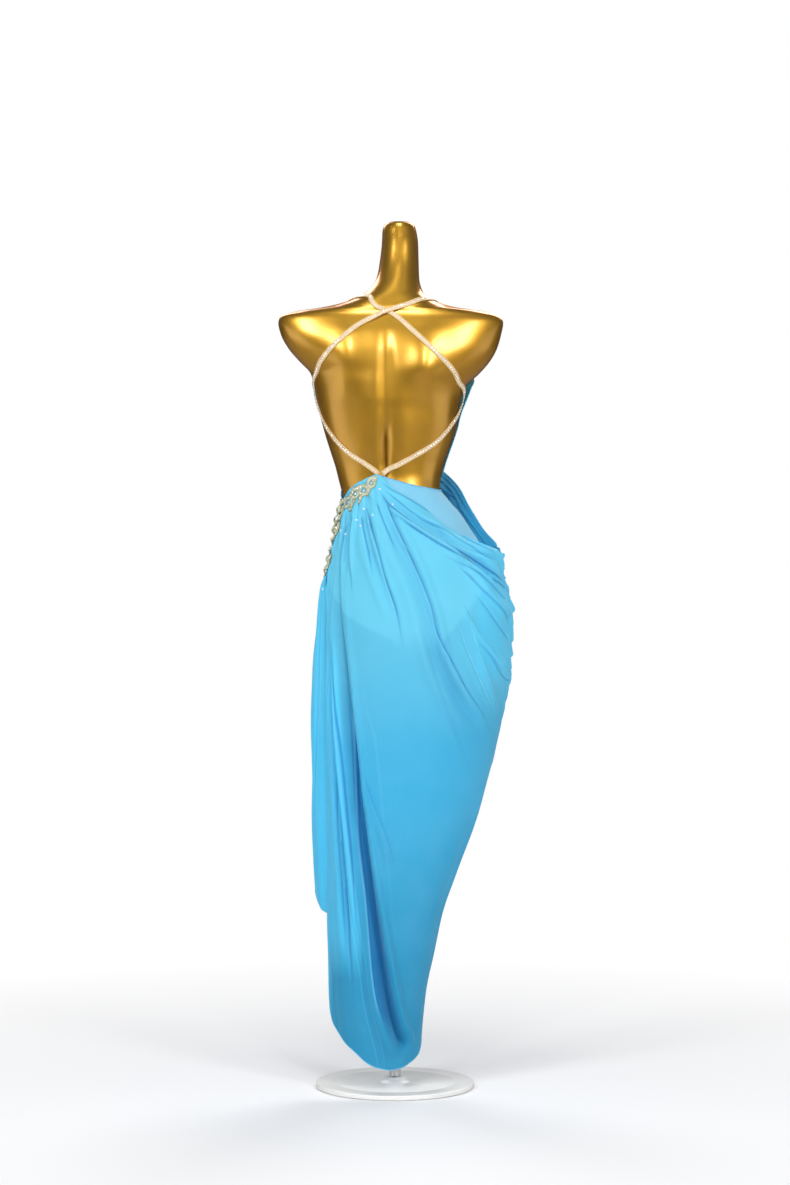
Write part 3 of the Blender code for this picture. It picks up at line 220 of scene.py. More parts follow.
# Lines that the cloth's grain follows, each at a share of the panel's width: the second fold,
# the deep fold and the main crease. A path holds (height, around).
BACK_GUIDES = table(Guide, [
    (0.14, [(1.130, 22), (0.980, 21), (0.923, 21), (0.809, 24), (0.657, 29.5), (0.505, 37.6),
     (0.315, 51.3), (0.182, 61), (0.100, 68), (0.030, 73)]),
    (0.30, [(1.140, 38), (1.075, 32), (0.980, 32.6), (0.885, 35), (0.771, 40.7), (0.676, 46.6),
     (0.581, 52.2), (0.467, 62), (0.353, 77.4), (0.239, 93.6), (0.144, 110.8), (0.076, 130),
     (0.030, 136)]),
    (0.60, [(1.160, 77), (1.120, 77), (1.046, 79), (0.971, 90.5), (0.891, 96.8), (0.809, 104.6),
     (0.733, 119.8), (0.661, 146), (0.572, 152), (0.300, 160), (0.030, 168)]),
])
SKIRT_FRONT = table(Section, [
    (1.172, 0.112, -0.099, 0.000, 0.070, 0.087),
    (1.138, 0.106, -0.129, 0.000, 0.070, 0.088),
    (1.103, 0.105, -0.146, 0.000, 0.074, 0.091),
    (1.085, 0.108, -0.157, 0.001, 0.080, 0.093),
    (1.056, 0.114, -0.176, 0.002, 0.092, 0.098),
    (1.028, 0.120, -0.197, 0.003, 0.104, 0.102),
    (1.007, 0.123, -0.203, 0.004, 0.112, 0.104),
    (0.980, 0.129, -0.202, 0.004, 0.116, 0.107),
    (0.942, 0.142, -0.211, 0.002, 0.062, 0.110),
    (0.898, 0.147, -0.221, 0.000, 0.050, 0.112),
    (0.858, 0.150, -0.219, 0.000, 0.050, 0.113),
    (0.801, 0.153, -0.217, -0.001, 0.050, 0.114),
    (0.760, 0.154, -0.200, -0.003, 0.050, 0.114),
    (0.657, 0.158, -0.172, -0.006, 0.050, 0.112),
    (0.530, 0.158, -0.140, -0.010, 0.050, 0.108),
    (0.419, 0.155, -0.104, -0.012, 0.050, 0.104),
    (0.330, 0.150, -0.078, -0.014, 0.050, 0.100),
])
FRONT_TOP = table(Edge, [
    (186, 1.172), (215, 1.172), (270, 1.171), (290, 1.169), (305, 1.162), (330, 1.145), (352, 1.124),
    (374, 1.113),
])
FRONT_HEM = table(Edge, [
    (186, 0.735), (200, 0.718), (220, 0.668), (240, 0.606), (260, 0.545), (280, 0.487), (300, 0.438),
    (320, 0.402), (340, 0.380), (358, 0.366), (372, 0.350), (384, 0.338), (396, 0.331),
])
FRONT_SPAN = table(Span, [
    (1.172, 373.6, 206.0), (1.155, 373.6, 202.5), (1.138, 373.6, 200.8), (1.100, 373.6, 197.4),
    (1.067, 373.6, 197.0), (1.048, 373.6, 195.0), (1.034, 373.6, 191.2), (1.022, 373.6, 188.4),
    (1.010, 373.6, 186.5), (0.972, 373.6, 186.4), (0.936, 384.0, 186.4), (0.898, 389.0, 186.4),
    (0.800, 392.5, 186.4), (0.760, 394.0, 187.5), (0.600, 398.5, 190.0), (0.335, 401.0, 190.0),
])
# The front's two long left creases.
FRONT_GUIDES = table(Guide, [
    (0.22, [(1.150, 345), (1.050, 342), (0.930, 337), (0.780, 336.1), (0.600, 328), (0.390, 318.2)]),
    (0.38, [(1.150, 320), (1.050, 322), (0.900, 322.5), (0.740, 315.1), (0.580, 300.8), (0.420, 287.3)]),
])
# Where a piece's top edge lies close on the briefs, and where it stands away as a cowl.
BACK_HUG = (118.0, 136.0)
FRONT_HUG = (205.0, 232.0)
HUG_DEEP = 0.024

BACK_CREASES = table(Crease, [
    (1, 0.013, 0.010, 0.005, 0.15, 0.25, -1, 0.25, [(0.026, 1.120), (-0.002, 1.046), (-0.038, 0.971),
     (-0.065, 0.891), (-0.086, 0.809), (-0.123, 0.733), (-0.171, 0.661)]),
    (1, 0.009, 0.005, 0.003, 0.10, 0.30, -1, 0.15, [(0.063, 1.110), (0.042, 1.014), (0.009, 0.923),
     (-0.010, 0.870)]),
    (1, 0.007, 0.003, 0.002, 0.10, 0.40, -1, 0.1, [(0.053, 1.130), (0.044, 1.066), (0.027, 1.000)]),
    (1, 0.009, 0.008, 0.005, 0.15, 0.12, 1, 0.25, [(0.023, 1.126), (-0.009, 1.092), (-0.086, 1.040),
     (-0.123, 1.014), (-0.162, 0.984), (-0.196, 0.952)]),
    (1, 0.006, 0.005, 0.003, 0.20, 0.15, 1, 0.25, [(-0.020, 1.100), (-0.076, 1.054), (-0.133, 1.020),
     (-0.196, 0.996)]),
    (1, 0.008, 0.005, 0.003, 0.15, 0.30, -1, 0.15, [(0.083, 1.110), (0.089, 1.028), (0.091, 0.960)]),
    (1, 0.014, 0.025, 0.009, 0.55, 0.03, -1, 0.45, [(0.091, 1.075), (0.103, 0.980), (0.101, 0.885),
     (0.091, 0.771), (0.080, 0.676), (0.070, 0.581), (0.057, 0.467), (0.040, 0.353), (0.021, 0.239),
     (0.002, 0.144), (-0.025, 0.076)]),
    (1, 0.010, 0.012, 0.005, 0.35, 0.25, -1, 0.5, [(0.121, 0.923), (0.118, 0.809), (0.110, 0.657),
     (0.099, 0.505), (0.087, 0.315), (0.076, 0.182)]),
    (1, 0.011, -0.006, 0.0, 0.25, 0.15, 0, 0.0, [(-0.118, 1.006), (-0.162, 0.955), (-0.190, 0.917),
     (-0.214, 0.898)]),
    (1, 0.009, -0.007, 0.0, 0.25, 0.10, 0, 0.0, [(-0.129, 0.904), (-0.152, 0.857), (-0.180, 0.819),
     (-0.208, 0.795)]),
    (1, 0.010, -0.006, 0.0, 0.25, 0.30, 0, 0.0, [(-0.135, 0.885), (-0.152, 0.828), (-0.175, 0.762),
     (-0.194, 0.705)]),
    (1, 0.012, -0.004, 0.0, 0.25, 0.30, 0, 0.0, [(-0.099, 0.847), (-0.123, 0.794), (-0.142, 0.752),
     (-0.162, 0.714), (-0.180, 0.666)]),
    (1, 0.014, -0.005, 0.0, 0.30, 0.40, 0, 0.0, [(0.063, 0.600), (0.044, 0.543), (0.019, 0.477),
     (0.004, 0.400)]),
])
FRONT_CREASES = table(Crease, [
    (-1, 0.016, 0.008, 0.005, 0.15, 0.20, -1, 0.2, [(-0.150, 1.060), (-0.085, 1.035), (-0.010, 1.045),
     (0.060, 1.085)]),
    (-1, 0.018, 0.010, 0.006, 0.15, 0.20, -1, 0.3, [(-0.180, 1.010), (-0.095, 0.965), (0.000, 0.965),
     (0.090, 1.020)]),
    (-1, 0.019, 0.012, 0.007, 0.12, 0.25, -1, 0.3, [(-0.195, 0.960), (-0.110, 0.890), (-0.010, 0.860),
     (0.080, 0.880)]),
    (-1, 0.019, 0.012, 0.007, 0.12, 0.20, -1, 0.3, [(-0.200, 0.920), (-0.120, 0.820), (-0.030, 0.745),
     (0.060, 0.690)]),
    (-1, 0.019, 0.012, 0.007, 0.15, 0.10, -1, 0.3, [(-0.195, 0.870), (-0.130, 0.770), (-0.060, 0.670),
     (0.005, 0.560)]),
    (-1, 0.014, 0.014, 0.007, 0.25, 0.04, 1, 0.6, [(0.100, 1.050), (0.112, 0.900), (0.104, 0.740),
     (0.082, 0.580), (0.064, 0.420)]),
    (-1, 0.014, 0.013, 0.006, 0.25, 0.04, 1, 0.6, [(0.126, 0.930), (0.138, 0.780), (0.134, 0.600),
     (0.122, 0.390)]),
    (-1, 0.010, 0.009, 0.005, 0.20, 0.08, -1, 0.3, [(-0.180, 0.850), (-0.150, 0.780), (-0.115, 0.690)]),
])

# ---------------------------------------------------------------- straps
OVER = 0.0021           # the strap that passes over the other
STRAPS = {
    "strap_upper_right": [
        Band(246.5, 1.4625, 0), Band(243, 1.4720, 0), Band(230, 1.4810, 0), Band(203, 1.4870, 0),
        Band(176, 1.4885, 0), Band(152, 1.4900, 0), Band(126, 1.4865, 0), Band(101, 1.4745, 0),
        Band(92.0, 1.4680, OVER), Band(88.2, 1.4632, OVER), Band(84.6, 1.4580, OVER),
        Band(73.8, 1.4385, 0), Band(61.3, 1.4100, 0), Band(43.8, 1.3790, 0),
        Band(20.5, 1.3500, 0), Band(9.0, 1.3360, 0), Band(5.5, 1.3230, 0), Band(5.0, 1.3135, 0),
    ],
    "strap_upper_left": [
        Band(293.5, 1.4625, 0), Band(297, 1.4720, 0), Band(310, 1.4815, 0), Band(337, 1.4885, 0),
        Band(364, 1.4915, 0), Band(388, 1.4945, 0), Band(412, 1.4940, 0), Band(429, 1.4835, 0),
        Band(440, 1.4735, 0), Band(450.5, 1.4605, 0), Band(461.5, 1.4255, 0), Band(474.8, 1.3850, 0),
        Band(490.5, 1.3560, 0), Band(510.0, 1.3335, 0), Band(526.0, 1.3225, 0.0010),
        Band(533.5, 1.3138, 0.0030), Band(536.8, 1.3025, 0.0045),
    ],
    "strap_lower_left": [
        Band(5.0, 1.3126, 0), Band(6.6, 1.2980, 0), Band(11.0, 1.2770, 0), Band(20.5, 1.2480, 0),
        Band(42.0, 1.2060, 0), Band(62.0, 1.1810, 0), Band(71.5, 1.1690, 0),
        Band(78.0, 1.1592, 0),
    ],
    "strap_lower_right": [
        Band(176.8, 1.3016, 0.0045), Band(173.5, 1.2870, 0.0030), Band(167.0, 1.2715, 0.0010),
        Band(157.0, 1.2560, 0), Band(136.0, 1.2170, 0), Band(103.0, 1.1800, 0),
        Band(90.0, 1.1690, 0), Band(82.4, 1.1596, 0),
    ],
}
STRAP_STEPS = {"strap_upper_right": 50, "strap_upper_left": 50,
               "strap_lower_left": 22, "strap_lower_right": 22}

# ---------------------------------------------------------------- applique
# `along` runs from the strap point at the middle back to the left side and on to the front;
# `down` is below the skirt's top edge.
APPLIQUE_START = 76.0
APPLIQUE_END = -34.0
HIP_CURLS = table(Curl, [
    (0.012, 0.010, 0.0085, 0.0060, 200, 330, 0.0056),
    (0.031, 0.016, 0.0095, 0.0065, 20, -320, 0.0056),
    (0.051, 0.011, 0.0090, 0.0065, 190, 330, 0.0056),
    (0.070, 0.017, 0.0100, 0.0070, 20, -330, 0.0058),
    (0.090, 0.014, 0.0105, 0.0070, 170, 330, 0.0058),
    (0.098, 0.036, 0.0105, 0.0070, 70, -330, 0.0058),
    (0.095, 0.059, 0.0090, 0.0060, 100, 320, 0.0054),
    (0.118, 0.022, 0.0095, 0.0065, 190, -320, 0.0056),
    (0.136, 0.014, 0.0080, 0.0055, 170, 310, 0.0054),
])
HIP_LEAVES = table(Leaf, [
    (0.003, 0.004, 0.016, 0.0070, 25), (0.022, 0.019, 0.018, 0.0080, 60),
    (0.041, 0.006, 0.018, 0.0075, -10), (0.041, 0.024, 0.020, 0.0080, 70),
    (0.061, 0.007, 0.018, 0.0075, 15), (0.060, 0.028, 0.018, 0.0075, 50),
    (0.080, 0.004, 0.018, 0.0070, -15), (0.083, 0.032, 0.020, 0.0080, 80),
    (0.104, 0.012, 0.020, 0.0080, 30), (0.110, 0.047, 0.018, 0.0075, 100),
    (0.086, 0.052, 0.016, 0.0070, 110), (0.096, 0.074, 0.016, 0.0070, 95),
    (0.127, 0.010, 0.016, 0.0070, 20), (0.146, 0.020, 0.016, 0.0070, 40),
])
SIDE_CURLS = table(Curl, [
    (0.101, 0.107, 0.0085, 0.0055, 80, 320, 0.0054),
    (0.103, 0.126, 0.0080, 0.0055, 260, -320, 0.0054),
])
SIDE_LEAVES = table(Leaf, [
    (0.093, 0.117, 0.016, 0.0070, 95), (0.111, 0.116, 0.016, 0.0070, 80),
    (0.103, 0.139, 0.014, 0.0065, 95), (0.099, 0.094, 0.014, 0.0065, 85),
])


# ---------------------------------------------------------------- curves and tables
def column(rows, name):
    """One column of a table."""
    return [getattr(row, name) for row in rows]


def monotone(keys, values, at):
    """A smooth curve through the values that never swings past them."""
    keys, values = np.array(keys, float), np.array(values, float)
    order = np.argsort(keys)
    keys, values = keys[order], values[order]
    run = np.diff(keys)
    slope = np.diff(values) / run
    bend = np.concatenate([slope[:1], np.zeros(len(run) - 1), slope[-1:]])
    before, after = slope[:-1], slope[1:]
    agree = before * after > 0
    total = np.where(agree, before + after, 1.0)
    bend[1:-1] = np.where(agree, 2 * before * after / total, 0.0)
    at = np.clip(np.asarray(at, float), keys[0], keys[-1])
    i = np.clip(np.searchsorted(keys, at, side="right") - 1, 0, len(run) - 1)
    t = (at - keys[i]) / run[i]
    return ((1 + 2 * t) * (1 - t) ** 2 * values[i] + t * (1 - t) ** 2 * run[i] * bend[i]
            + t * t * (3 - 2 * t) * values[i + 1] + t * t * (t - 1) * run[i] * bend[i + 1])


def curve(rows, by, name, at):
    """One column of a table as a smooth curve over another column."""
    return monotone(column(rows, by), column(rows, name), at)


def ease(value):
    """0 below 0, 1 above 1, and a smooth step between."""
    t = np.clip(value, 0.0, 1.0)
    return t * t * (3 - 2 * t)


def past(value, mark):
    """0 up to the mark's start, 1 from its run beyond that on, and a smooth step between."""
    start, run = mark
    return ease((value - start) / run)


def short_of(value, mark):
    """The same the other way: 0 from the mark's start on, and 1 where the value is its run below."""
    start, run = mark
    return ease((start - value) / run)


def bell(value):
    """1 at 0, and falling smoothly to almost nothing at 2 on each side."""
    return np.exp(-value ** 2)


def unit(ways):
    """The same directions, each 1 long."""
    return ways / np.maximum(np.linalg.norm(ways, axis=-1, keepdims=True), 1e-12)


def run_along(path):
    """The length of each step of a path, and the length up to each of its points."""
    steps = np.linalg.norm(np.diff(path, axis=0), axis=1)
    return steps, np.concatenate([[0], np.cumsum(steps)])


def spline(points, count):
    """A Catmull-Rom curve through the points, sampled at count + 1 places."""
    points = np.array(points, float)
    padded = np.vstack([2 * points[0] - points[1], points, 2 * points[-1] - points[-2]])
    place = np.linspace(0, len(points) - 1, count + 1)
    i = np.minimum(place.astype(int), len(points) - 2)
    t = (place - i)[:, None]
    a, b, c, d = padded[i], padded[i + 1], padded[i + 2], padded[i + 3]
    return 0.5 * (2 * b + (c - a) * t + (2 * a - 5 * b + 4 * c - d) * t ** 2
                  + (3 * b - a - 3 * c + d) * t ** 3)


# ---------------------------------------------------------------- surfaces
def oval(rows, height):
    """Left, right, middle, back and front of a table's sections at each height."""
    return (curve(rows, "height", name, height) for name in ("left", "right", "middle", "back", "front"))


def section(rows, around, height):
    """Points of an oval whose sides, depth and middle change with height."""
    left, right, middle, back, front = oval(rows, height)
    turn = np.radians(around)
    x = (left + right) / 2 + (left - right) / 2 * np.cos(turn)
    y = middle + np.where(np.sin(turn) > 0, back, front) * np.sin(turn)
    return np.stack([x, y, height + 0 * x], -1)


def form_at(around, height):
    point = section(FORM, around, height)
    faces = np.sin(np.radians(around))
    for bump in FORM_RELIEF:
        spread = ((point[..., 0] - bump.across) / bump.wide) ** 2
        spread = spread + ((height - bump.height) / bump.tall) ** 2
        strength = np.clip(faces * bump.facing, 0, 1)
        point[..., 1] += bump.facing * bump.rise * strength * np.exp(-spread)
    return point


def normal_at(surface, around, height):
    """Outward direction of a surface, from two short steps on it."""
    turn, rise = 0.3, 0.0006
    across = surface(around + turn, height) - surface(around - turn, height)
    up = surface(around, height + rise) - surface(around, height - rise)
    return unit(np.cross(across, up))


def over_form(around, height, lift):
    lift = np.asarray(lift)[..., None] if np.ndim(lift) else lift
    return form_at(around, height) + normal_at(form_at, around, height) * lift


def around_of(rows, across, height, facing):
    """The place around a section that lies at a given distance across."""
    left, right = (curve(rows, "height", side, height) for side in ("left", "right"))
    cosine = np.clip((across - (left + right) / 2) / ((left - right) / 2), -1, 1)
    turn = np.degrees(np.arccos(cosine))
    return np.where(facing > 0, turn, 360 - turn)


def nearest_on(points, path):
    """Distance of each point to a path, and how far along the path that is, from 0 to 1."""
    steps, reach = run_along(path)
    best = np.full(points.shape[:-1], np.inf)
    along = np.zeros(points.shape[:-1])
    for start, end, step, before in zip(path[:-1], path[1:], steps, reach):
        line = (end - start) / step
        run = np.clip(((points - start) * line).sum(-1), 0, step)
        gap = np.linalg.norm(points - start - run[..., None] * line, axis=-1)
        closer = gap < best
        best = np.where(closer, gap, best)
        along = np.where(closer, (before + run) / reach[-1], along)
    return best, along


def beside_path(points, fold, rows, reach):
    """For the points within reach of a fold's line: which they are, how far they lie beside it, above
    0 on the left seen from outside with the line running down, and how far along it."""
    line = spline(fold.path, 5 * len(fold.path))
    turn = around_of(rows, line[:, 0], line[:, 1], fold.facing)
    path = section(rows, turn, line[:, 1])
    out = normal_at(lambda a, h: section(rows, a, h), turn, line[:, 1])
    near = ((points > path.min(0) - reach) & (points < path.max(0) + reach)).all(-1)
    flat = points[near]
    steps, run_up = run_along(path)
    best, along = np.full(len(flat), np.inf), np.zeros(len(flat))
    for start, end, step, before, way in zip(path[:-1], path[1:], steps, run_up, out):
        ahead = (end - start) / step
        run = np.clip((flat - start) @ ahead, 0, step)
        off = flat - start - run[:, None] * ahead
        gap = np.linalg.norm(off, axis=1)
        closer = gap < np.abs(best)
        best = np.where(closer, np.where(off @ np.cross(ahead, way) < 0, -gap, gap), best)
        along = np.where(closer, (before + run) / run_up[-1], along)
    return near, best, along


STEEP = 0.42            # how narrow the steep side of a crease's trough is, beside its soft side
STEEP_CREST = STEEP + 0.15
CREST_AT = 2.1          # where the crests beside a trough lie, and how wide they are, in its widths
CREST_SOFT = 0.9
CREASE_SHADE = 1.3      # how much faster than its depth a crease's painted shade falls off
# A crisp fold across its line, in its widths from the ridge: how narrow the ridge's steep side is, where its
# valley and its painted shade lie with how wide they are, and where its painted line is drawn.
RIDGE_STEEP = 0.30
VALLEY = (0.62, 0.34)
VALLEY_DEEP = 0.9       # beside the ridge's height
SHADE = (0.52, 0.42)
LINE_AT = 0.55
LINE_REACH = 0.0040     # how far from a fold's line the shader still looks for it
Lines = namedtuple("Lines", "beside strength")


def no_lines(shape):
    """The state before any fold's line has come near a point."""
    return Lines(np.full(shape, LINE_REACH), np.zeros(shape))


def keep_line(lines, near, beside, strength):
    """Keeps the painted line (dark shade, or a pale highlight below 0) that shows most at each point that is
    near it.
    """
    strength = strength * bell(beside / LINE_REACH)
    before, shown = lines.beside[near], lines.strength[near]
    more = np.abs(strength) > np.abs(shown)
    lines.beside[near] = np.where(more, beside, before)
    lines.strength[near] = np.where(more, strength, shown)


def fading(along, fold):
    """How much of a fold is there at each place along its line, as it fades in and out."""
    return ease(along / fold.fade_in) * ease((1 - along) / fold.fade_out)


def crease_push(points, creases, rows):
    """How far the creases push each point out (or in, below 0), and how much painted shade darkens it."""
    push = np.zeros(points.shape[:-1])
    dark = np.zeros(points.shape[:-1])
    for crease in creases:
        near, gap, along = beside_path(points, crease, rows, 5 * crease.width)
        fade = fading(along, crease)
        place = gap / crease.width
        steep = place * crease.lean > 0
        trough = bell(place / np.where(steep, STEEP, 1.0))
        crests = bell((np.abs(place) / np.where(steep, STEEP_CREST, 1.0) - CREST_AT) / CREST_SOFT)
        push[near] += fade * (crease.crest * crests - crease.depth * trough)
        dark[near] = np.maximum(dark[near], fade * crease.dark * trough ** CREASE_SHADE)
    return push, dark


def fold_push(points, folds, rows):
    """The same for the crisp folds: a soft ridge that drops at its steep side into a narrow valley, with
    painted shade around the valley. Also the painted lines of their valleys."""
    push = np.zeros(points.shape[:-1])
    dark = np.zeros(points.shape[:-1])
    lines = no_lines(push.shape)
    for fold in folds:
        near, gap, along = beside_path(points, fold, rows, 4 * fold.width)
        fade = fading(along, fold)
        place = gap * fold.lean / fold.width
        ridge = bell(place / np.where(place > 0, RIDGE_STEEP, 1.0))
        valley, shade = (bell((place - middle) / wide) for middle, wide in (VALLEY, SHADE))
        push[near] += fade * fold.rise * (ridge - VALLEY_DEEP * valley)
        dark[near] = np.maximum(dark[near], fade * fold.dark * shade)
        keep_line(lines, near, (place - LINE_AT) * fold.width, fade * fold.dark)
    return push, dark, lines


LEFT_CALM = 5           # degrees beside each side seam in which the creases die out
RIGHT_CALM = 6
CALM_FOOT = 0.02        # how far below the seam's foot they still do


def draped(rows, creases, top, hug, hug_rises, around, height, small=0.0):
    """A skirt wall: hugging the briefs at its top edge, then hanging free, with its creases."""
    hang = section(rows, around, height)
    drop = curve(top, "around", "height", around) - height
    spread = ease((around - hug[0]) / (hug[1] - hug[0]))
    close = np.exp(-np.maximum(drop, 0) ** 2 / HUG_DEEP ** 2) * (spread if hug_rises else 1 - spread)
    push = crease_push(hang, creases, rows)[0] * (1 - close)
    at_left = ease(np.abs((around + 180) % 360 - 180 - LEFT_SEAM) / LEFT_CALM)
    at_right = ease(np.abs(around - RIGHT_SEAM) / RIGHT_CALM)
    push *= np.where(height > SLIT_TOP - CALM_FOOT, at_left, 1)
    push *= np.where(height > RIGHT_FREE - CALM_FOOT, at_right, 1)
    push = push + small
    out = normal_at(lambda a, h: section(rows, a, h), around, height)
    held = over_form(around, height, HUG)
    free = hang + out * push[..., None]
    return held * close[..., None] + free * (1 - close[..., None])


def skirt_back_at(around, height, small=0.0):
    return draped(SKIRT_BACK, BACK_CREASES, BACK_TOP, BACK_HUG, False, around, height, small)


def skirt_front_at(around, height, small=0.0):
    return draped(SKIRT_FRONT, FRONT_CREASES, FRONT_TOP, FRONT_HUG, True, around, height, small)


def bodice_at(around, height):
    spread = ((around - LOOSE_SIDE.around) / LOOSE_AROUND) ** 2
    spread = spread + ((height - LOOSE_SIDE.height) / LOOSE_TALL) ** 2
    return over_form(around, height, FIT + CLOTH / 2 + LOOSE_RISE * np.exp(-spread))


# ---------------------------------------------------------------- small folds
# A gather follows the cloth's grain at one share of a panel's width, from `start` to `end` down it.
Gather = namedtuple("Gather", "share width depth start end")
# A pinch is where the gathering thread of the right hip seam holds the cloth in.
Pinch = namedtuple("Pinch", "height depth")

# A fold's line holds (across, height). Its ridge is steep on the side that `lean` says, as a crease's.
# `dark` is how strongly painted shade darkens a fold's valley and draws its line; below 0 the line is a
# painted highlight instead.
Fold = namedtuple("Fold", "facing width rise lean dark fade_in fade_out path")

BACK_FOLDS = table(Fold, [
    # the swag from the strap point to the right hip
    (1, 0.0060, 0.0022, 1, 0.50, 0.10, 0.10, [(0.025, 1.149), (0.006, 1.136), (-0.017, 1.120),
     (-0.044, 1.101), (-0.080, 1.081), (-0.114, 1.059), (-0.137, 1.040), (-0.163, 1.026),
     (-0.192, 1.010)]),
    (1, 0.0055, 0.0020, 1, 0.45, 0.15, 0.10, [(0.024, 1.138), (-0.002, 1.114), (-0.030, 1.092),
     (-0.063, 1.071), (-0.104, 1.049), (-0.135, 1.029), (-0.162, 1.013), (-0.190, 1.000)]),
    (1, 0.0075, 0.0034, 1, 0.85, 0.08, 0.10, [(0.027, 1.130), (0.006, 1.103), (-0.030, 1.077),
     (-0.067, 1.052), (-0.101, 1.032), (-0.127, 1.018), (-0.158, 0.998), (-0.188, 0.975),
     (-0.207, 0.955)]),
    (1, 0.0065, 0.0028, 1, 0.70, 0.20, 0.10, [(0.006, 1.090), (-0.022, 1.070), (-0.052, 1.050),
     (-0.090, 1.026), (-0.135, 1.000), (-0.171, 0.978), (-0.202, 0.953), (-0.215, 0.936)]),
    (1, 0.0060, 0.0022, 1, 0.45, 0.25, 0.12, [(-0.090, 1.010), (-0.125, 0.993), (-0.158, 0.973),
     (-0.188, 0.948), (-0.212, 0.920)]),
    (1, 0.0065, 0.0026, 1, 0.45, 0.25, 0.10, [(-0.112, 0.996), (-0.142, 0.968), (-0.170, 0.938),
     (-0.198, 0.909), (-0.218, 0.888)]),
    (1, 0.0060, 0.0024, 1, 0.40, 0.25, 0.12, [(-0.150, 0.940), (-0.171, 0.912), (-0.193, 0.880),
     (-0.214, 0.853)]),
    (1, 0.0070, 0.0030, -1, -0.60, 0.20, 0.10, [(-0.128, 0.922), (-0.143, 0.882), (-0.169, 0.840),
     (-0.194, 0.805), (-0.217, 0.786)]),
    (1, 0.0065, 0.0024, -1, -0.55, 0.25, 0.25, [(-0.112, 0.882), (-0.137, 0.815), (-0.165, 0.750),
     (-0.188, 0.700)]),
    (1, 0.0050, 0.0018, -1, -0.45, 0.25, 0.30, [(-0.132, 0.890), (-0.150, 0.828), (-0.174, 0.762),
     (-0.196, 0.705)]),
    (1, 0.0065, 0.0026, 1, 0.35, 0.25, 0.10, [(-0.148, 0.856), (-0.175, 0.824), (-0.200, 0.789),
     (-0.219, 0.769)]),
    # the main fold and the gathers at the left of it
    (1, 0.0080, 0.0036, -1, 0.80, 0.08, 0.40, [(0.032, 1.127), (0.021, 1.105), (0.008, 1.073),
     (-0.018, 1.019), (-0.044, 0.961), (-0.063, 0.910), (-0.076, 0.858), (-0.102, 0.804), (-0.127, 0.756),
     (-0.160, 0.705), (-0.184, 0.648)]),
    (1, 0.0110, 0.0022, -1, 0.14, 0.30, 0.45, [(-0.030, 0.905), (-0.052, 0.840), (-0.070, 0.775),
     (-0.095, 0.705), (-0.125, 0.630), (-0.142, 0.570)]),
    (1, 0.0070, 0.0032, -1, 0.65, 0.10, 0.35, [(0.052, 1.092), (0.048, 1.058), (0.033, 1.009),
     (0.021, 0.961), (0.004, 0.910), (-0.006, 0.866), (-0.013, 0.820)]),
    (1, 0.0045, 0.0020, -1, 0.55, 0.10, 0.45, [(0.056, 1.096), (0.049, 1.070), (0.037, 1.036)]),
    (1, 0.0050, 0.0022, -1, 0.55, 0.10, 0.45, [(0.038, 1.106), (0.028, 1.078), (0.012, 1.040),
     (-0.004, 1.000)]),
    (1, 0.0050, 0.0022, -1, 0.55, 0.10, 0.45, [(0.066, 1.083), (0.061, 1.052), (0.052, 1.010),
     (0.042, 0.960)]),
    (1, 0.0050, 0.0022, 1, 0.50, 0.10, 0.40, [(0.075, 1.081), (0.080, 1.045), (0.082, 0.999),
     (0.078, 0.930)]),
    (1, 0.0075, 0.0034, 1, 0.80, 0.08, 0.15, [(0.085, 1.075), (0.093, 1.045), (0.099, 0.993),
     (0.101, 0.942), (0.097, 0.845), (0.089, 0.756), (0.082, 0.690)]),
    (1, 0.0055, 0.0024, 1, 0.50, 0.10, 0.40, [(0.096, 1.072), (0.104, 1.037), (0.110, 0.993),
     (0.114, 0.930), (0.118, 0.840), (0.1225, 0.730), (0.121, 0.619)]),
    (1, 0.0060, 0.0028, 1, 0.70, 0.10, 0.30, [(0.107, 1.056), (0.118, 1.014), (0.124, 0.971),
     (0.128, 0.910), (0.134, 0.820), (0.139, 0.740), (0.140, 0.640)]),
    # the edge of the deep fold
    (1, 0.0040, 0.0012, -1, 0.95, 0.25, 0.10, [(0.0980, 0.880), (0.0925, 0.790), (0.0836, 0.657),
     (0.0765, 0.543), (0.0700, 0.467), (0.0551, 0.353), (0.0418, 0.220), (0.0323, 0.163),
     (0.0180, 0.120)]),
    # the long folds at the left side
    (1, 0.0060, 0.0024, -1, 0.60, 0.12, 0.30, [(0.121, 0.860), (0.110, 0.740), (0.0994, 0.638),
     (0.089, 0.525), (0.0785, 0.412), (0.0703, 0.262)]),
    (1, 0.0055, 0.0020, -1, 0.40, 0.15, 0.35, [(0.108, 0.560), (0.101, 0.450), (0.093, 0.340),
     (0.085, 0.240), (0.078, 0.160)]),
    (1, 0.0080, 0.0026, -1, 0.45, 0.20, 0.25, [(0.118, 0.850), (0.120, 0.733), (0.115, 0.619),
     (0.109, 0.486), (0.101, 0.353), (0.092, 0.230)]),
    (1, 0.0100, 0.0026, -1, 0.20, 0.25, 0.30, [(0.063, 0.610), (0.044, 0.543), (0.019, 0.477),
     (0.002, 0.410)]),
])
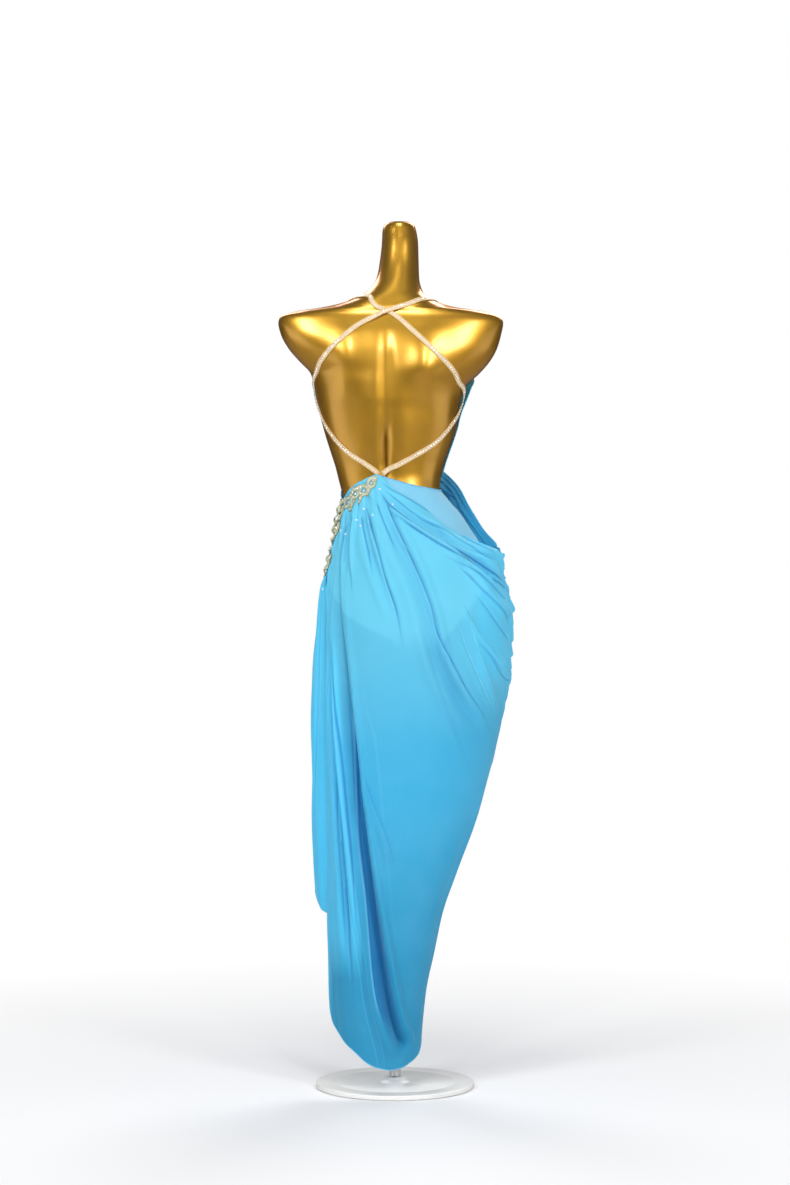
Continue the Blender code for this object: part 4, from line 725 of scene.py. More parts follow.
FRONT_FOLDS = table(Fold, [
    # the cowl, seen from behind inside the right hip
    (-1, 0.0060, 0.0018, 1, 0.90, 0.08, 0.08, [(-0.094, 1.136), (-0.120, 1.105), (-0.146, 1.067),
     (-0.171, 1.031), (-0.187, 1.008)]),
    (-1, 0.0050, 0.0014, 1, 0.60, 0.10, 0.30, [(-0.088, 1.128), (-0.108, 1.098), (-0.128, 1.068),
     (-0.146, 1.042)]),
    (-1, 0.0070, 0.0030, -1, 0.50, 0.10, 0.15, [(-0.205, 1.000), (-0.150, 0.985), (-0.080, 0.985),
     (0.000, 1.010), (0.080, 1.060)]),
    (-1, 0.0070, 0.0030, -1, 0.55, 0.10, 0.20, [(-0.210, 0.975), (-0.150, 0.940), (-0.080, 0.918),
     (0.000, 0.915), (0.080, 0.950)]),
    (-1, 0.0080, 0.0034, -1, 0.60, 0.10, 0.25, [(-0.214, 0.945), (-0.150, 0.890), (-0.080, 0.840),
     (0.000, 0.805), (0.075, 0.790)]),
    (-1, 0.0070, 0.0028, -1, 0.45, 0.10, 0.25, [(-0.216, 0.915), (-0.155, 0.845), (-0.090, 0.775),
     (-0.020, 0.705), (0.040, 0.650)]),
    (-1, 0.0075, 0.0030, -1, 0.50, 0.10, 0.20, [(-0.217, 0.880), (-0.160, 0.800), (-0.100, 0.715),
     (-0.040, 0.630), (0.015, 0.550)]),
    (-1, 0.0065, 0.0024, -1, 0.40, 0.10, 0.20, [(-0.216, 0.840), (-0.165, 0.765), (-0.118, 0.690),
     (-0.080, 0.620)]),
    (-1, 0.0060, 0.0022, -1, 0.40, 0.10, 0.35, [(-0.207, 1.022), (-0.160, 1.020), (-0.110, 1.028),
     (-0.060, 1.045)]),
    (-1, 0.0060, 0.0022, -1, 0.35, 0.10, 0.40, [(-0.213, 0.960), (-0.170, 0.922), (-0.120, 0.890),
     (-0.060, 0.868)]),
    (-1, 0.0070, 0.0030, 1, 0.60, 0.10, 0.20, [(0.106, 1.100), (0.112, 0.980), (0.114, 0.840),
     (0.104, 0.680), (0.090, 0.540), (0.078, 0.440)]),
    (-1, 0.0070, 0.0028, 1, 0.50, 0.15, 0.20, [(0.090, 1.080), (0.092, 0.960), (0.086, 0.820),
     (0.068, 0.680), (0.045, 0.560)]),
    (-1, 0.0065, 0.0026, 1, 0.50, 0.15, 0.20, [(0.128, 0.900), (0.140, 0.760), (0.140, 0.600),
     (0.130, 0.460), (0.124, 0.380)]),
    (-1, 0.0060, 0.0026, 1, 0.40, 0.10, 0.40, [(0.070, 1.110), (0.068, 1.050), (0.058, 0.970),
     (0.040, 0.890)]),
])

BACK_GATHERS = table(Gather, [
    (0.020, 0.0035, 0.0014, 0.000, 0.16), (0.078, 0.0040, 0.0012, 0.000, 0.12),
    (0.203, 0.0040, 0.0012, 0.000, 0.14), (0.262, 0.0045, 0.0012, 0.000, 0.17),
    (0.335, 0.0045, 0.0012, 0.000, 0.15), (0.398, 0.0045, 0.0012, 0.000, 0.13),
    (0.462, 0.0045, 0.0012, 0.000, 0.12), (0.545, 0.0045, 0.0012, 0.000, 0.11),
    (0.070, 0.0120, 0.0030, 0.350, 1.00), (0.215, 0.0120, 0.0034, 0.330, 1.00),
    (0.180, 0.0080, 0.0022, 0.500, 1.00), (0.025, 0.0090, 0.0024, 0.450, 1.00),
    (0.360, 0.0160, -0.0030, 0.300, 0.86), (0.640, 0.0200, 0.0018, 0.450, 0.95),
    (0.800, 0.0180, 0.0022, 0.420, 0.90), (0.920, 0.0140, -0.0020, 0.450, 0.95),
])
FRONT_GATHERS = table(Gather, [
    (0.018, 0.0060, 0.0026, 0.000, 0.60), (0.060, 0.0070, 0.0030, 0.030, 1.00),
    (0.105, 0.0080, 0.0030, 0.100, 1.00), (0.150, 0.0080, 0.0026, 0.060, 0.90),
    (0.190, 0.0090, -0.0028, 0.200, 1.00), (0.270, 0.0090, 0.0030, 0.250, 1.00),
    (0.310, 0.0080, -0.0024, 0.300, 1.00), (0.345, 0.0090, 0.0026, 0.300, 1.00),
    (0.430, 0.0120, 0.0026, 0.450, 1.00), (0.500, 0.0120, -0.0022, 0.500, 1.00),
    (0.965, 0.0050, 0.0026, 0.000, 0.20), (0.925, 0.0055, 0.0030, 0.000, 0.26),
    (0.878, 0.0060, 0.0028, 0.000, 0.22), (0.830, 0.0060, 0.0022, 0.000, 0.16),
])
CUP_GATHERS = table(Gather, [
    (0.080, 0.0035, 0.0012, 0.000, 0.30), (0.210, 0.0040, 0.0014, 0.000, 0.34),
    (0.350, 0.0040, 0.0012, 0.000, 0.26), (0.480, 0.0040, 0.0014, 0.000, 0.36),
    (0.620, 0.0040, 0.0012, 0.000, 0.28), (0.750, 0.0040, 0.0014, 0.000, 0.33),
    (0.890, 0.0035, 0.0012, 0.000, 0.25), (0.120, 0.0050, 0.0012, 0.620, 1.00),
    (0.280, 0.0050, 0.0014, 0.560, 1.00), (0.430, 0.0050, 0.0012, 0.640, 1.00),
    (0.590, 0.0050, 0.0014, 0.580, 1.00), (0.760, 0.0050, 0.0012, 0.650, 1.00),
])
PINCHES = table(Pinch, [
    (0.994, 0.0085), (0.974, 0.0030), (0.9525, 0.0070), (0.936, 0.0030), (0.917, 0.0058), (0.889, 0.0056),
    (0.862, 0.0026), (0.832, 0.0090), (0.806, 0.0028), (0.779, 0.0050), (0.748, 0.0040), (0.712, 0.0034),
    (0.672, 0.0024), (0.628, 0.0020),
])
PINCH_TALL = 0.0055
PINCH_CREST = 0.75      # how high the cloth puffs out beside a pinch, for its depth
PINCH_LINE = 125        # how strongly a pinch's painted shade line shows, for each metre of its depth
PINCH_REACH = {"back": 0.048, "front": 0.070}
# How steeply a pinch's fold climbs away from the seam, at the top and the foot of the gathering.
PINCH_CLIMB = {"back": (0.75, 2.2), "front": (-0.15, -0.85)}
PINCHED_TALL = 0.30     # height of the gathering over which that changes
PINCH_TURN = 0.035      # how far from the seam a fold has turned to its climb
PINCH_OPEN = 0.04       # how far from the seam it is twice as tall

GATHER_LINE = 260       # how strongly a gather's painted shade line shows, for each metre of its depth
GATHER_FADE = (0.25, 0.60)      # shares of its length in which a gather fades in and out
GATHER_WANDER = 0.012
GATHER_CREST = 0.45     # height of the crests beside a gather, for its depth
GATHER_CREST_AT = 2.0
GATHER_CRISP = 0.005    # gathers wider than this get a weaker painted line


def gathered(gathers, share, down, across, lines):
    """How far the gathers push each point of a panel out (or in, below 0). Their painted shade lines join
    `lines`.
    """
    push = np.zeros(share.shape)
    fade_in, fade_out = GATHER_FADE
    for gather in gathers:
        length = gather.end - gather.start
        fade = ease((down - gather.start) / (fade_in * length) + (gather.start == 0))
        fade = fade * ease((gather.end - down) / (fade_out * length) + (gather.end == 1))
        wander = GATHER_WANDER * np.sin(7 * down + 40 * gather.share) * down
        gap = (share - gather.share - wander) * across / gather.width
        crests = bell((np.abs(gap) - GATHER_CREST_AT) / CREST_SOFT)
        push += fade * gather.depth * (GATHER_CREST * crests - bell(gap))
        strength = fade * gather.depth * GATHER_LINE * min(1.0, (GATHER_CRISP / gather.width) ** 2)
        keep_line(lines, ..., gap * gather.width, strength)
    return push


def pinched(side, around, height, across, lines):
    """The small folds that run out of the right hip's gathered seam, whose painted shade lines join `lines`.
    """
    away = np.abs(around - RIGHT_SEAM) / 180 * across
    steep, slack = PINCH_CLIMB[side]
    climb = steep + (slack - steep) * ease((PINCHES[0].height - height) / PINCHED_TALL)
    seam_height = height - climb * away * ease(away / PINCH_TURN)
    reach = bell(away / PINCH_REACH[side])
    push = np.zeros(around.shape)
    for pinch in PINCHES:
        place = (seam_height - pinch.height) / (PINCH_TALL * (1 + away / PINCH_OPEN))
        crests = bell((np.abs(place) - CREST_AT) / CREST_SOFT)
        push += pinch.depth * (PINCH_CREST * crests - bell(place))
        beside = (seam_height - pinch.height) / np.hypot(1, climb)
        keep_line(lines, ..., beside, pinch.depth * PINCH_LINE * reach)
    return push * reach


def rippled(points, height):
    """The slack of the cloth: long, low, uneven waves. Their numbers are radians for each metre."""
    x, y, z = points[..., 0], points[..., 1], points[..., 2]
    wave = np.sin(31 * x + 7 * z) * np.sin(11 * z + 5 * x + 1.1)
    wave = wave + 0.6 * np.sin(57 * x - 13 * z + 23 * y) * np.sin(17 * z - 9 * x)
    return height * wave


# ---------------------------------------------------------------- meshes
def oval_around(rows, points, height):
    """The place around an oval's section that each point is nearest to."""
    left, right, middle, back, front = oval(rows, height)
    east = (points[..., 0] - (left + right) / 2) / ((left - right) / 2)
    deep = points[..., 1] - middle
    return np.degrees(np.arctan2(deep / np.where(deep > 0, back, front), east)) % 360


CLEAR_SOFT = 0.0007     # over how much lift a point starts to be held off the form
BELOW_FORM = 0.006      # height over which that starts, at the form's foot
STEEPEST = 30           # beyond this the soft hold is a straight line


def clear_of_form(points, least):
    """Points nearer to the dress form than `least`, moved out to that distance without a kink."""
    height = np.clip(points[..., 2], FORM[-1].height, FORM[0].height)
    around = oval_around(FORM, points, height)
    base = form_at(around, height)
    out = normal_at(form_at, around, height)
    short = (least - ((points - base) * out).sum(-1)) / CLEAR_SOFT
    held = np.log1p(np.exp(np.minimum(short, STEEPEST)))
    push = CLEAR_SOFT * np.where(short > STEEPEST, short, held)
    beside = ease((points[..., 2] - FORM[-1].height) / BELOW_FORM)
    return points + out * (push * beside)[..., None]


LEG_APEX = 0.822        # where the lining's line fades out at the middle of the back
LEG_FADE = 0.050
LEG_SOFT = 0.009


def over_briefs(points):
    """1 where the briefs lie behind the cloth, 0 elsewhere, with a soft edge."""
    height = np.clip(points[..., 2], FORM[-1].height, FORM[0].height)
    around = oval_around(FORM, points, height)
    turn = np.where(around < LEFT_SEAM, around + 360, around)
    back, front = (curve(leg, "around", "height", turn) for leg in (BRIEFS_LEG_BACK, BRIEFS_LEG_FRONT))
    leg = np.where(turn < RIGHT_SEAM, back, front)
    apex = ease((points[..., 2] - LEG_APEX) / LEG_FADE)
    return ease((points[..., 2] - leg) / LEG_SOFT + 0.5) * apex


def build(name, points, faces, finish, flat=None, tones=None, smooth=True):
    """One named mesh with its faces pointing out, its flat places as a UV map and its tones."""
    points = np.asarray(points, float)
    mesh = bpy.data.meshes.new(name)
    corners = [points[[f[i] for f in faces]] for i in (0, 1, 2)]
    if np.einsum("ij,ij->", corners[0], np.cross(corners[1], corners[2])) < 0:
        faces = [f[::-1] for f in faces]
    mesh.from_pydata(points.tolist(), [], faces)
    if flat is not None:
        corner_of = np.empty(len(mesh.loops), np.int32)
        mesh.loops.foreach_get("vertex_index", corner_of)
        layer = mesh.uv_layers.new(name="flat")
        layer.data.foreach_set("uv", np.asarray(flat, np.float32)[corner_of].ravel())
    for tone, values in (tones or {}).items():
        layer = mesh.attributes.new(tone, "FLOAT", "POINT")
        layer.data.foreach_set("value", np.asarray(values, np.float32).ravel())
    if smooth:
        mesh.shade_smooth()
    mesh.materials.append(finish)
    thing = bpy.data.objects.new(name, mesh)
    bpy.context.scene.collection.objects.link(thing)
    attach(thing, "root")
    return thing


def tree_of(thing):
    return BVHTree.FromPolygons([v.co for v in thing.data.vertices],
                                [tuple(p.vertices) for p in thing.data.polygons])


def grid_cells(rows, columns, loop=False):
    """Corner numbers of each cell of a grid, which may close on itself sideways."""
    across = columns if loop else columns - 1
    r = np.repeat(np.arange(rows - 1), across)
    c = np.tile(np.arange(across), rows - 1)
    after = (c + 1) % columns
    low, high = r * columns, (r + 1) * columns
    return np.stack([low + c, low + after, high + after, high + c], 1)


def grid_out(grid):
    """Unit directions square to a grid of points."""
    return unit(np.cross(np.gradient(grid, axis=0), np.gradient(grid, axis=1)))


def rim_of(rows, columns):
    """Grid places along the edge of a panel, once round."""
    rim = [(0, c) for c in range(columns - 1)] + [(r, columns - 1) for r in range(rows - 1)]
    rim += [(rows - 1, c) for c in range(columns - 1, 0, -1)] + [(r, 0) for r in range(rows - 1, 0, -1)]
    return rim


def shell(name, grid, thick, finish, flat=None, tones=None):
    """A sheet of cloth: a grid of points given a thickness, with closed edges. A tone holds one value
    for each point, or two such layers: for the face that `grid_out` points from, and for the other."""
    out = grid_out(grid)
    rows, columns = grid.shape[:2]
    points = np.concatenate([(grid + side * out * thick / 2).reshape(-1, 3) for side in (1, -1)])
    count = rows * columns
    cells = grid_cells(rows, columns)
    ring = [r * columns + c for r, c in rim_of(rows, columns)]
    faces = cells.tolist() + (cells[:, ::-1] + count).tolist()
    faces += [[b, a, count + a, count + b] for a, b in zip(ring, ring[1:] + ring[:1])]
    both = {tone: values.ravel() if values.ndim == 3 else np.concatenate([values.ravel(), values.ravel()])
            for tone, values in (tones or {}).items()}
    places = None if flat is None else np.concatenate([flat.reshape(-1, 2), flat.reshape(-1, 2)])
    return build(name, points, faces, finish, places, both)


BAR_AROUND = 0.006      # how far the flat places of a thin bar reach round it


def swept(name, line, out, ring, finish):
    """A thin bar of one cross-section, from (sideways, outward) points, along a line on the cloth."""
    ahead = unit(np.gradient(line, axis=0))
    side = unit(np.cross(out, ahead))
    up = np.cross(ahead, side)
    ring = np.array(ring)
    points = line[:, None] + side[:, None] * ring[None, :, :1] + up[:, None] * ring[None, :, 1:]
    rows, sides = len(line), len(ring)
    faces = grid_cells(rows, sides, loop=True).tolist()
    faces += [list(range(sides)), [(rows - 1) * sides + i for i in reversed(range(sides))]]
    round_places = np.arange(sides) / sides * BAR_AROUND
    flat = np.stack([np.repeat(run_along(line)[1], sides), np.tile(round_places, rows)], 1)
    return build(name, points.reshape(-1, 3), faces, finish, flat)


def round_turns(sides):
    return np.arange(sides) * 2 * math.pi / sides


def round_section(wide, tall, sides=8):
    return [(wide / 2 * math.cos(t), tall / 2 * math.sin(t)) for t in round_turns(sides)]


def crowded(count, marks):
    """count + 1 places from 0 to 1, close together where the marks' (place, crowd) say so."""
    fine = np.linspace(0, 1, 4001)
    crowd = np.interp(fine, *zip(*marks))
    reach = np.concatenate([[0], np.cumsum((crowd[1:] + crowd[:-1]) / 2)])
    return np.interp(np.linspace(0, reach[-1], count + 1), reach, fine)


SETTLING = 12           # rounds in which a place and the height of its panel's edges settle


def spanned(spans, top, hem, across, downward, guides=()):
    """Places of a cloth piece, between its side edges and between its top edge and hem."""
    shares = [0] + [guide.share for guide in guides] + [1]
    u = np.asarray(across)[None, :]
    v = np.asarray(downward)[:, None]
    around = spans[0].start + (spans[0].end - spans[0].start) * u + 0 * v
    for _ in range(SETTLING):
        high, low = (curve(edge, "around", "height", around) for edge in (top, hem))
        height = high + (low - high) * v
        lines = [curve(spans, "height", "start", height)]
        lines += [monotone(*zip(*guide.path), height) for guide in guides]
        lines.append(curve(spans, "height", "end", height))
        for low_share, high_share, first, last in zip(shares, shares[1:], lines, lines[1:]):
            part = (u - low_share) / (high_share - low_share)
            inside = (part >= 0) & (part <= 1)
            around = np.where(inside, first + (last - first) * part, around)
    return around, height, u + 0 * v, v + 0 * u


# ---------------------------------------------------------------- shader helpers
class Graph:
    """Adds nodes to one material or group, with their inputs given by name or number."""

    def __init__(self, tree):
        self.tree = tree

    def add(self, kind, inputs=None, **settings):
        made = self.tree.nodes.new(kind)
        for name, value in settings.items():
            setattr(made, name, value)
        for name, value in (inputs or {}).items():
            if isinstance(value, bpy.types.NodeSocket):
                self.tree.links.new(value, made.inputs[name])
            else:
                made.inputs[name].default_value = value
        return made

    def link(self, value, socket):
        self.tree.links.new(value, socket)

    def object_place(self):
        return self.add("ShaderNodeTexCoord").outputs["Object"]

    def flat_place(self):
        return self.add("ShaderNodeUVMap", uv_map="flat").outputs[0]

    def parts(self, place):
        return self.add("ShaderNodeSeparateXYZ", {0: place}).outputs

    def tone(self, name):
        return self.add("ShaderNodeAttribute", attribute_name=name).outputs["Fac"]

    def times(self, first, second):
        return self.maths("MULTIPLY", first, second)

    def maths(self, operation, first, second=0.0):
        return self.add("ShaderNodeMath", {0: first, 1: second}, operation=operation).outputs[0]

    def mixed(self, share, first, second):
        return self.add("ShaderNodeMix", {0: share, 6: first, 7: second}, data_type="RGBA").outputs[2]

    def span(self, value, low, high, to_low=0.0, to_high=1.0):
        node = self.add("ShaderNodeMapRange", {0: value, 1: low, 2: high, 3: to_low, 4: to_high})
        return node.outputs[0]

    def noise(self, place, scale, detail=2.0, roughness=0.5):
        values = {"Vector": place, "Scale": scale, "Detail": detail, "Roughness": roughness}
        return self.add("ShaderNodeTexNoise", values).outputs[0]


def group(name, inputs, outputs):
    """An empty shader group; inputs hold (name, socket kind, default) and outputs (name, kind)."""
    tree = bpy.data.node_groups.new(name, "ShaderNodeTree")
    for label, kind, default in inputs:
        made = tree.interface.new_socket(label, in_out="INPUT", socket_type="NodeSocket" + kind)
        made.default_value = default
    for label, kind in outputs:
        tree.interface.new_socket(label, in_out="OUTPUT", socket_type="NodeSocket" + kind)
    graph = Graph(tree)
    graph.source = graph.add("NodeGroupInput").outputs
    graph.sink = graph.add("NodeGroupOutput").inputs
    return tree, graph


def weave_group():
    """Threads that cross, from the flat places of the cloth: a height, and a mask of the gaps."""
    tree, g = group("woven threads", [("Pitch", "Float", 0.001), ("Slub", "Float", 0.2)],
                    [("Height", "Float"), ("Gap", "Float")])
    place = g.flat_place()
    parts = g.parts(place)
    turn = g.maths("DIVIDE", math.pi, g.source["Pitch"])
    slub = g.times(g.noise(place, 900.0), g.source["Slub"])
    threads = [g.maths("ABSOLUTE", g.maths("SINE", g.times(part, turn))) for part in parts[:2]]
    height = g.maths("MAXIMUM", threads[0], threads[1])
    g.link(g.maths("ADD", height, slub), g.sink["Height"])
    g.link(g.span(height, 0.35, 0.85, 1.0, 0.0), g.sink["Gap"])
    return tree


def tone_group():
    """A colour that drifts a little over the cloth, as dye and handling leave it."""
    tree, g = group("dye drift", [("Colour", "Color", (1, 1, 1, 1)), ("Pale", "Color", (1, 1, 1, 1)),
                                  ("Size", "Float", 0.06), ("Amount", "Float", 0.2)],
                    [("Colour", "Color")])
    place = g.object_place()
    broad = g.noise(place, g.maths("DIVIDE", 1.0, g.source["Size"]), 3.0)
    fine = g.noise(place, 420.0, 2.0)
    drift = g.maths("ADD", g.times(broad, 0.7), g.times(fine, 0.3))
    drift = g.span(drift, 0.35, 0.65)
    share = g.times(drift, g.source["Amount"])
    g.link(g.mixed(share, g.source["Colour"], g.source["Pale"]), g.sink["Colour"])
    return tree


def handling_group():
    """Faint smears and dust on a hard finish: a roughness and a mask of the dust."""
    tree, g = group("handling", [("Roughness", "Float", 0.3), ("Smear", "Float", 0.05)],
                    [("Roughness", "Float"), ("Dust", "Float")])
    place = g.object_place()
    smears = g.span(g.noise(place, 14.0, 4.0, 0.6), 0.4, 0.7)
    specks = g.span(g.noise(place, 640.0, 1.0), 0.72, 0.80)
    rough = g.maths("ADD", g.source["Roughness"], g.times(smears, g.source["Smear"]))
    g.link(rough, g.sink["Roughness"])
    g.link(specks, g.sink["Dust"])
    return tree


GROUPS = {"weave": weave_group(), "tone": tone_group(), "handling": handling_group()}


def finish_of(name, **constants):
    """A new material with its Principled shader, whose plain sockets hold the constants."""
    made = bpy.data.materials.new(name)
    made.use_nodes = True
    shader = made.node_tree.nodes["Principled BSDF"]
    for socket, value in constants.items():
        shader.inputs[socket.replace("_", " ")].default_value = value
    return made, Graph(made.node_tree), shader.inputs


def placed(g, name, **values):
    """One of the shared groups, placed in a material with its own values."""
    return g.add("ShaderNodeGroup", values, node_tree=GROUPS[name]).outputs


def bumped(g, shader, height, depth, strength=1.0):
    bump = g.add("ShaderNodeBump", {"Strength": strength, "Distance": depth, "Height": height})
    g.link(bump.outputs[0], shader["Normal"])


def rgb(red, green, blue):
    """A display colour, 0 to 255, as the shader's linear colour."""
    return tuple(((c / 255 + 0.055) / 1.055) ** 2.4 for c in (red, green, blue)) + (1.0,)


# ---------------------------------------------------------------- finishes
GLOW = 0.26             # painted light: a glow in the cloth's own colour, standing in for light that comes through thin cloth from its other side
LINE_WIDE = 0.0020      # half the width of a fold's painted shade line, as the shader draws it
CREST_AWAY = 0.0030     # how far the painted highlight on the pale crest lies beside it
CREST_WIDE = 0.0022
STITCH = 0.0016         # length of one stitch of the rolled edge's thread
SATIN = 0.0009          # width of one stitch of the lace's thread
COAT_RIM = (0.72, 0.96)         # between these shares of facing away, the clear coat fades out
COAT_AT_RIM = 0.10
PAINTED_SPARKLE = 0.45          # painted light: a glow standing in for the light the foil behind a stone throws back from every side


def sheer_blue():
    made, g, shader = finish_of("sheer_blue_mesh", Roughness=0.72, Sheen_Weight=0.25, Sheen_Roughness=0.45,
                                Specular_IOR_Level=0.22, Sheen_Tint=rgb(190, 232, 250),
                                Emission_Strength=GLOW)
    lined, backed, painted_shade, low, thin, beside, line = (
        g.tone(name) for name in ("lined", "backed", "painted_shade", "low", "thin", "beside", "line"))
    free = g.mixed(low, rgb(54, 157, 199), rgb(28, 131, 172))
    bare = g.mixed(backed, free, rgb(82, 175, 207))
    plain = g.mixed(lined, bare, rgb(93, 186, 215))
    # Painted light: a paler colour where `thin` is above 1.
    plain = g.mixed(g.span(thin, 1.0, 2.0), plain, rgb(74, 192, 234))
    weave = placed(g, "weave", Pitch=0.0011, Slub=0.35)
    # Painted shade in the creases and folds.
    deep = g.mixed(g.times(painted_shade, 0.92), plain, rgb(10, 100, 164))
    # A fold's line is painted shade in its valley, with a painted highlight on the crest of its soft side;
    # below 0 it is a painted highlight line.
    valley = g.span(g.maths("ABSOLUTE", beside), 0.0, LINE_WIDE, 1.0, 0.0)
    crest = g.span(g.maths("ABSOLUTE", g.maths("ADD", beside, CREST_AWAY)), 0.0, CREST_WIDE, 1.0, 0.0)
    drawn = g.times(line, valley)
    dark_line = g.span(drawn, 0.0, 0.9, 0.0, 0.95)
    pale_line = g.span(drawn, 0.0, -1.0, 0.0, 0.80)
    painted_crest_highlight = g.mixed(g.span(g.times(line, crest), 0.0, 1.0, 0.0, 0.60), deep, rgb(136, 218, 246))
    lined_up = g.mixed(pale_line, g.mixed(dark_line, painted_crest_highlight, rgb(14, 108, 172)), rgb(150, 224, 246))
    tone = placed(g, "tone", Colour=lined_up, Pale=rgb(150, 222, 244), Size=0.09, Amount=0.06)
    gapped = g.mixed(g.times(weave["Gap"], 0.14), tone["Colour"], rgb(30, 130, 190))
    g.link(gapped, shader["Base Color"])
    # Painted light: a glow in the cloth's colour where `thin` says light comes through, weaker in the painted
    # shade.
    through = g.times(g.span(thin, 0.0, 3.0, 0.10, 1.0), g.span(painted_shade, 0.0, 1.0, 1.0, 0.35))
    g.link(g.mixed(through, (0, 0, 0, 1), gapped), shader["Emission Color"])
    bumped(g, shader, weave["Height"], 0.00010, 0.5)
    return made


def blue_lining():
    # Painted light: a faint glow in the lining's own colour, standing in for light that comes through it.
    made, g, shader = finish_of("blue_lining_knit", Roughness=0.80, Sheen_Weight=0.25, Sheen_Roughness=0.5,
                                Specular_IOR_Level=0.2, Emission_Strength=0.2 * GLOW)
    weave = placed(g, "weave", Pitch=0.0008, Slub=0.30)
    tone = placed(g, "tone", Colour=rgb(114, 182, 212), Pale=rgb(142, 194, 216), Size=0.08, Amount=0.35)
    gapped = g.mixed(g.times(weave["Gap"], 0.18), tone["Colour"], rgb(76, 152, 192))
    g.link(gapped, shader["Base Color"])
    g.link(gapped, shader["Emission Color"])
    bumped(g, shader, weave["Height"], 0.00008, 0.5)
    return made


def rolled_thread():
    made, g, shader = finish_of("rolled_edge_thread", Roughness=0.62, Sheen_Weight=0.2)
    parts = g.parts(g.flat_place())
    slant = g.maths("ADD", g.times(parts[0], 2 * math.pi / STITCH),
                    g.times(parts[1], 2 * math.pi / BAR_AROUND))
    stitch = g.maths("ADD", g.times(g.maths("SINE", slant), 0.5), 0.5)
    tone = placed(g, "tone", Colour=rgb(84, 190, 230), Pale=rgb(140, 220, 244), Size=0.02, Amount=0.3)
    shaded = g.mixed(g.times(stitch, 0.3), rgb(40, 140, 196), tone["Colour"])
    lit = g.mixed(0.7, shaded, tone["Colour"])
    g.link(lit, shader["Base Color"])
    bumped(g, shader, stitch, 0.00025, 0.8)
    return made


def gold_lacquer():
    made, g, shader = finish_of("gold_lacquer", Metallic=0.92, Coat_Roughness=0.21, Coat_IOR=1.58,
                                Specular_Tint=rgb(206, 150, 70))
    hand = placed(g, "handling", Roughness=0.31, Smear=0.05)
    tone = placed(g, "tone", Colour=rgb(206, 152, 34), Pale=rgb(212, 162, 44), Size=0.16, Amount=0.6)
    dusty = g.mixed(g.times(hand["Dust"], 0.05), tone["Colour"], rgb(236, 218, 168))
    # Painted shade: `groove` darkens the colour down the spine's groove.
    groove = g.tone("groove")
    shaded = g.mixed(g.times(groove, 0.85), dusty, rgb(86, 50, 12))
    g.link(shaded, shader["Base Color"])
    rim = g.add("ShaderNodeLayerWeight").outputs["Facing"]
    coat = g.times(g.span(groove, 0.1, 0.6, 1.0, 0.15), g.span(rim, *COAT_RIM, 1.0, COAT_AT_RIM))
    g.link(coat, shader["Coat Weight"])
    g.link(hand["Roughness"], shader["Roughness"])
    place = g.object_place()
    bumped(g, shader, g.noise(place, 46.0, 1.0), 0.00025, 0.15)
    return made


def strap_band():
    made, g, shader = finish_of("nude_strap", Roughness=0.50, Sheen_Weight=0.35, Sheen_Roughness=0.35)
    weave = placed(g, "weave", Pitch=0.0009, Slub=0.2)
    tone = placed(g, "tone", Colour=rgb(206, 178, 128), Pale=rgb(222, 200, 154), Size=0.02, Amount=0.5)
    gapped = g.mixed(g.times(weave["Gap"], 0.3), tone["Colour"], rgb(164, 128, 80))
    g.link(gapped, shader["Base Color"])
    bumped(g, shader, weave["Height"], 0.00012, 0.7)
    return made


def applique_thread():
    made, g, shader = finish_of("pale_gold_thread", Roughness=0.42, Metallic=0.25, Sheen_Weight=0.2)
    parts = g.parts(g.flat_place())
    satin = g.maths("SINE", g.times(parts[0], 2 * math.pi / SATIN))
    satin = g.maths("ADD", g.times(satin, 0.5), 0.5)
    tone = placed(g, "tone", Colour=rgb(178, 184, 142), Pale=rgb(218, 222, 190), Size=0.010, Amount=0.8)
    shaded = g.mixed(g.times(satin, 0.35), tone["Colour"], rgb(112, 124, 96))
    # Painted shade: `edge` darkens the thread where it stands low, at its edges and in the gaps between
    # threads.
    edge = g.tone("edge")
    painted_edge_shade = g.mixed(g.times(edge, 0.80), shaded, rgb(70, 82, 60))
    g.link(painted_edge_shade, shader["Base Color"])
    bumped(g, shader, satin, 0.00025, 0.8)
    return made


def crystal():
    made, g, shader = finish_of("foil_backed_crystal", Metallic=0.60, Roughness=0.10, Coat_Weight=1.0,
                                Coat_Roughness=0.03, Coat_IOR=1.7, Emission_Strength=PAINTED_SPARKLE)
    tint = g.tone("tint")
    place = g.object_place()
    cool = g.mixed(tint, rgb(236, 240, 250), rgb(244, 214, 232))
    # Painted glints: pale flecks standing in for flashing facets; the stone's emission is painted light too.
    painted_glint = g.span(g.noise(place, 1500.0, 1.0), 0.45, 0.62)
    cut = g.mixed(g.times(painted_glint, 0.4), cool, rgb(190, 226, 244))
    g.link(cut, shader["Base Color"])
    g.link(cut, shader["Emission Color"])
    return made


def white_enamel():
    made, g, shader = finish_of("white_enamel", Coat_Weight=0.2, Coat_Roughness=0.2)
    hand = placed(g, "handling", Roughness=0.34, Smear=0.12)
    tone = placed(g, "tone", Colour=rgb(232, 232, 230), Pale=rgb(244, 244, 242), Size=0.09, Amount=0.6)
    dusty = g.mixed(g.times(hand["Dust"], 0.3), tone["Colour"], rgb(188, 186, 180))
    g.link(dusty, shader["Base Color"])
    g.link(hand["Roughness"], shader["Roughness"])
    place = g.object_place()
    bumped(g, shader, g.noise(place, 900.0, 1.0), 0.00006, 0.4)
    return made


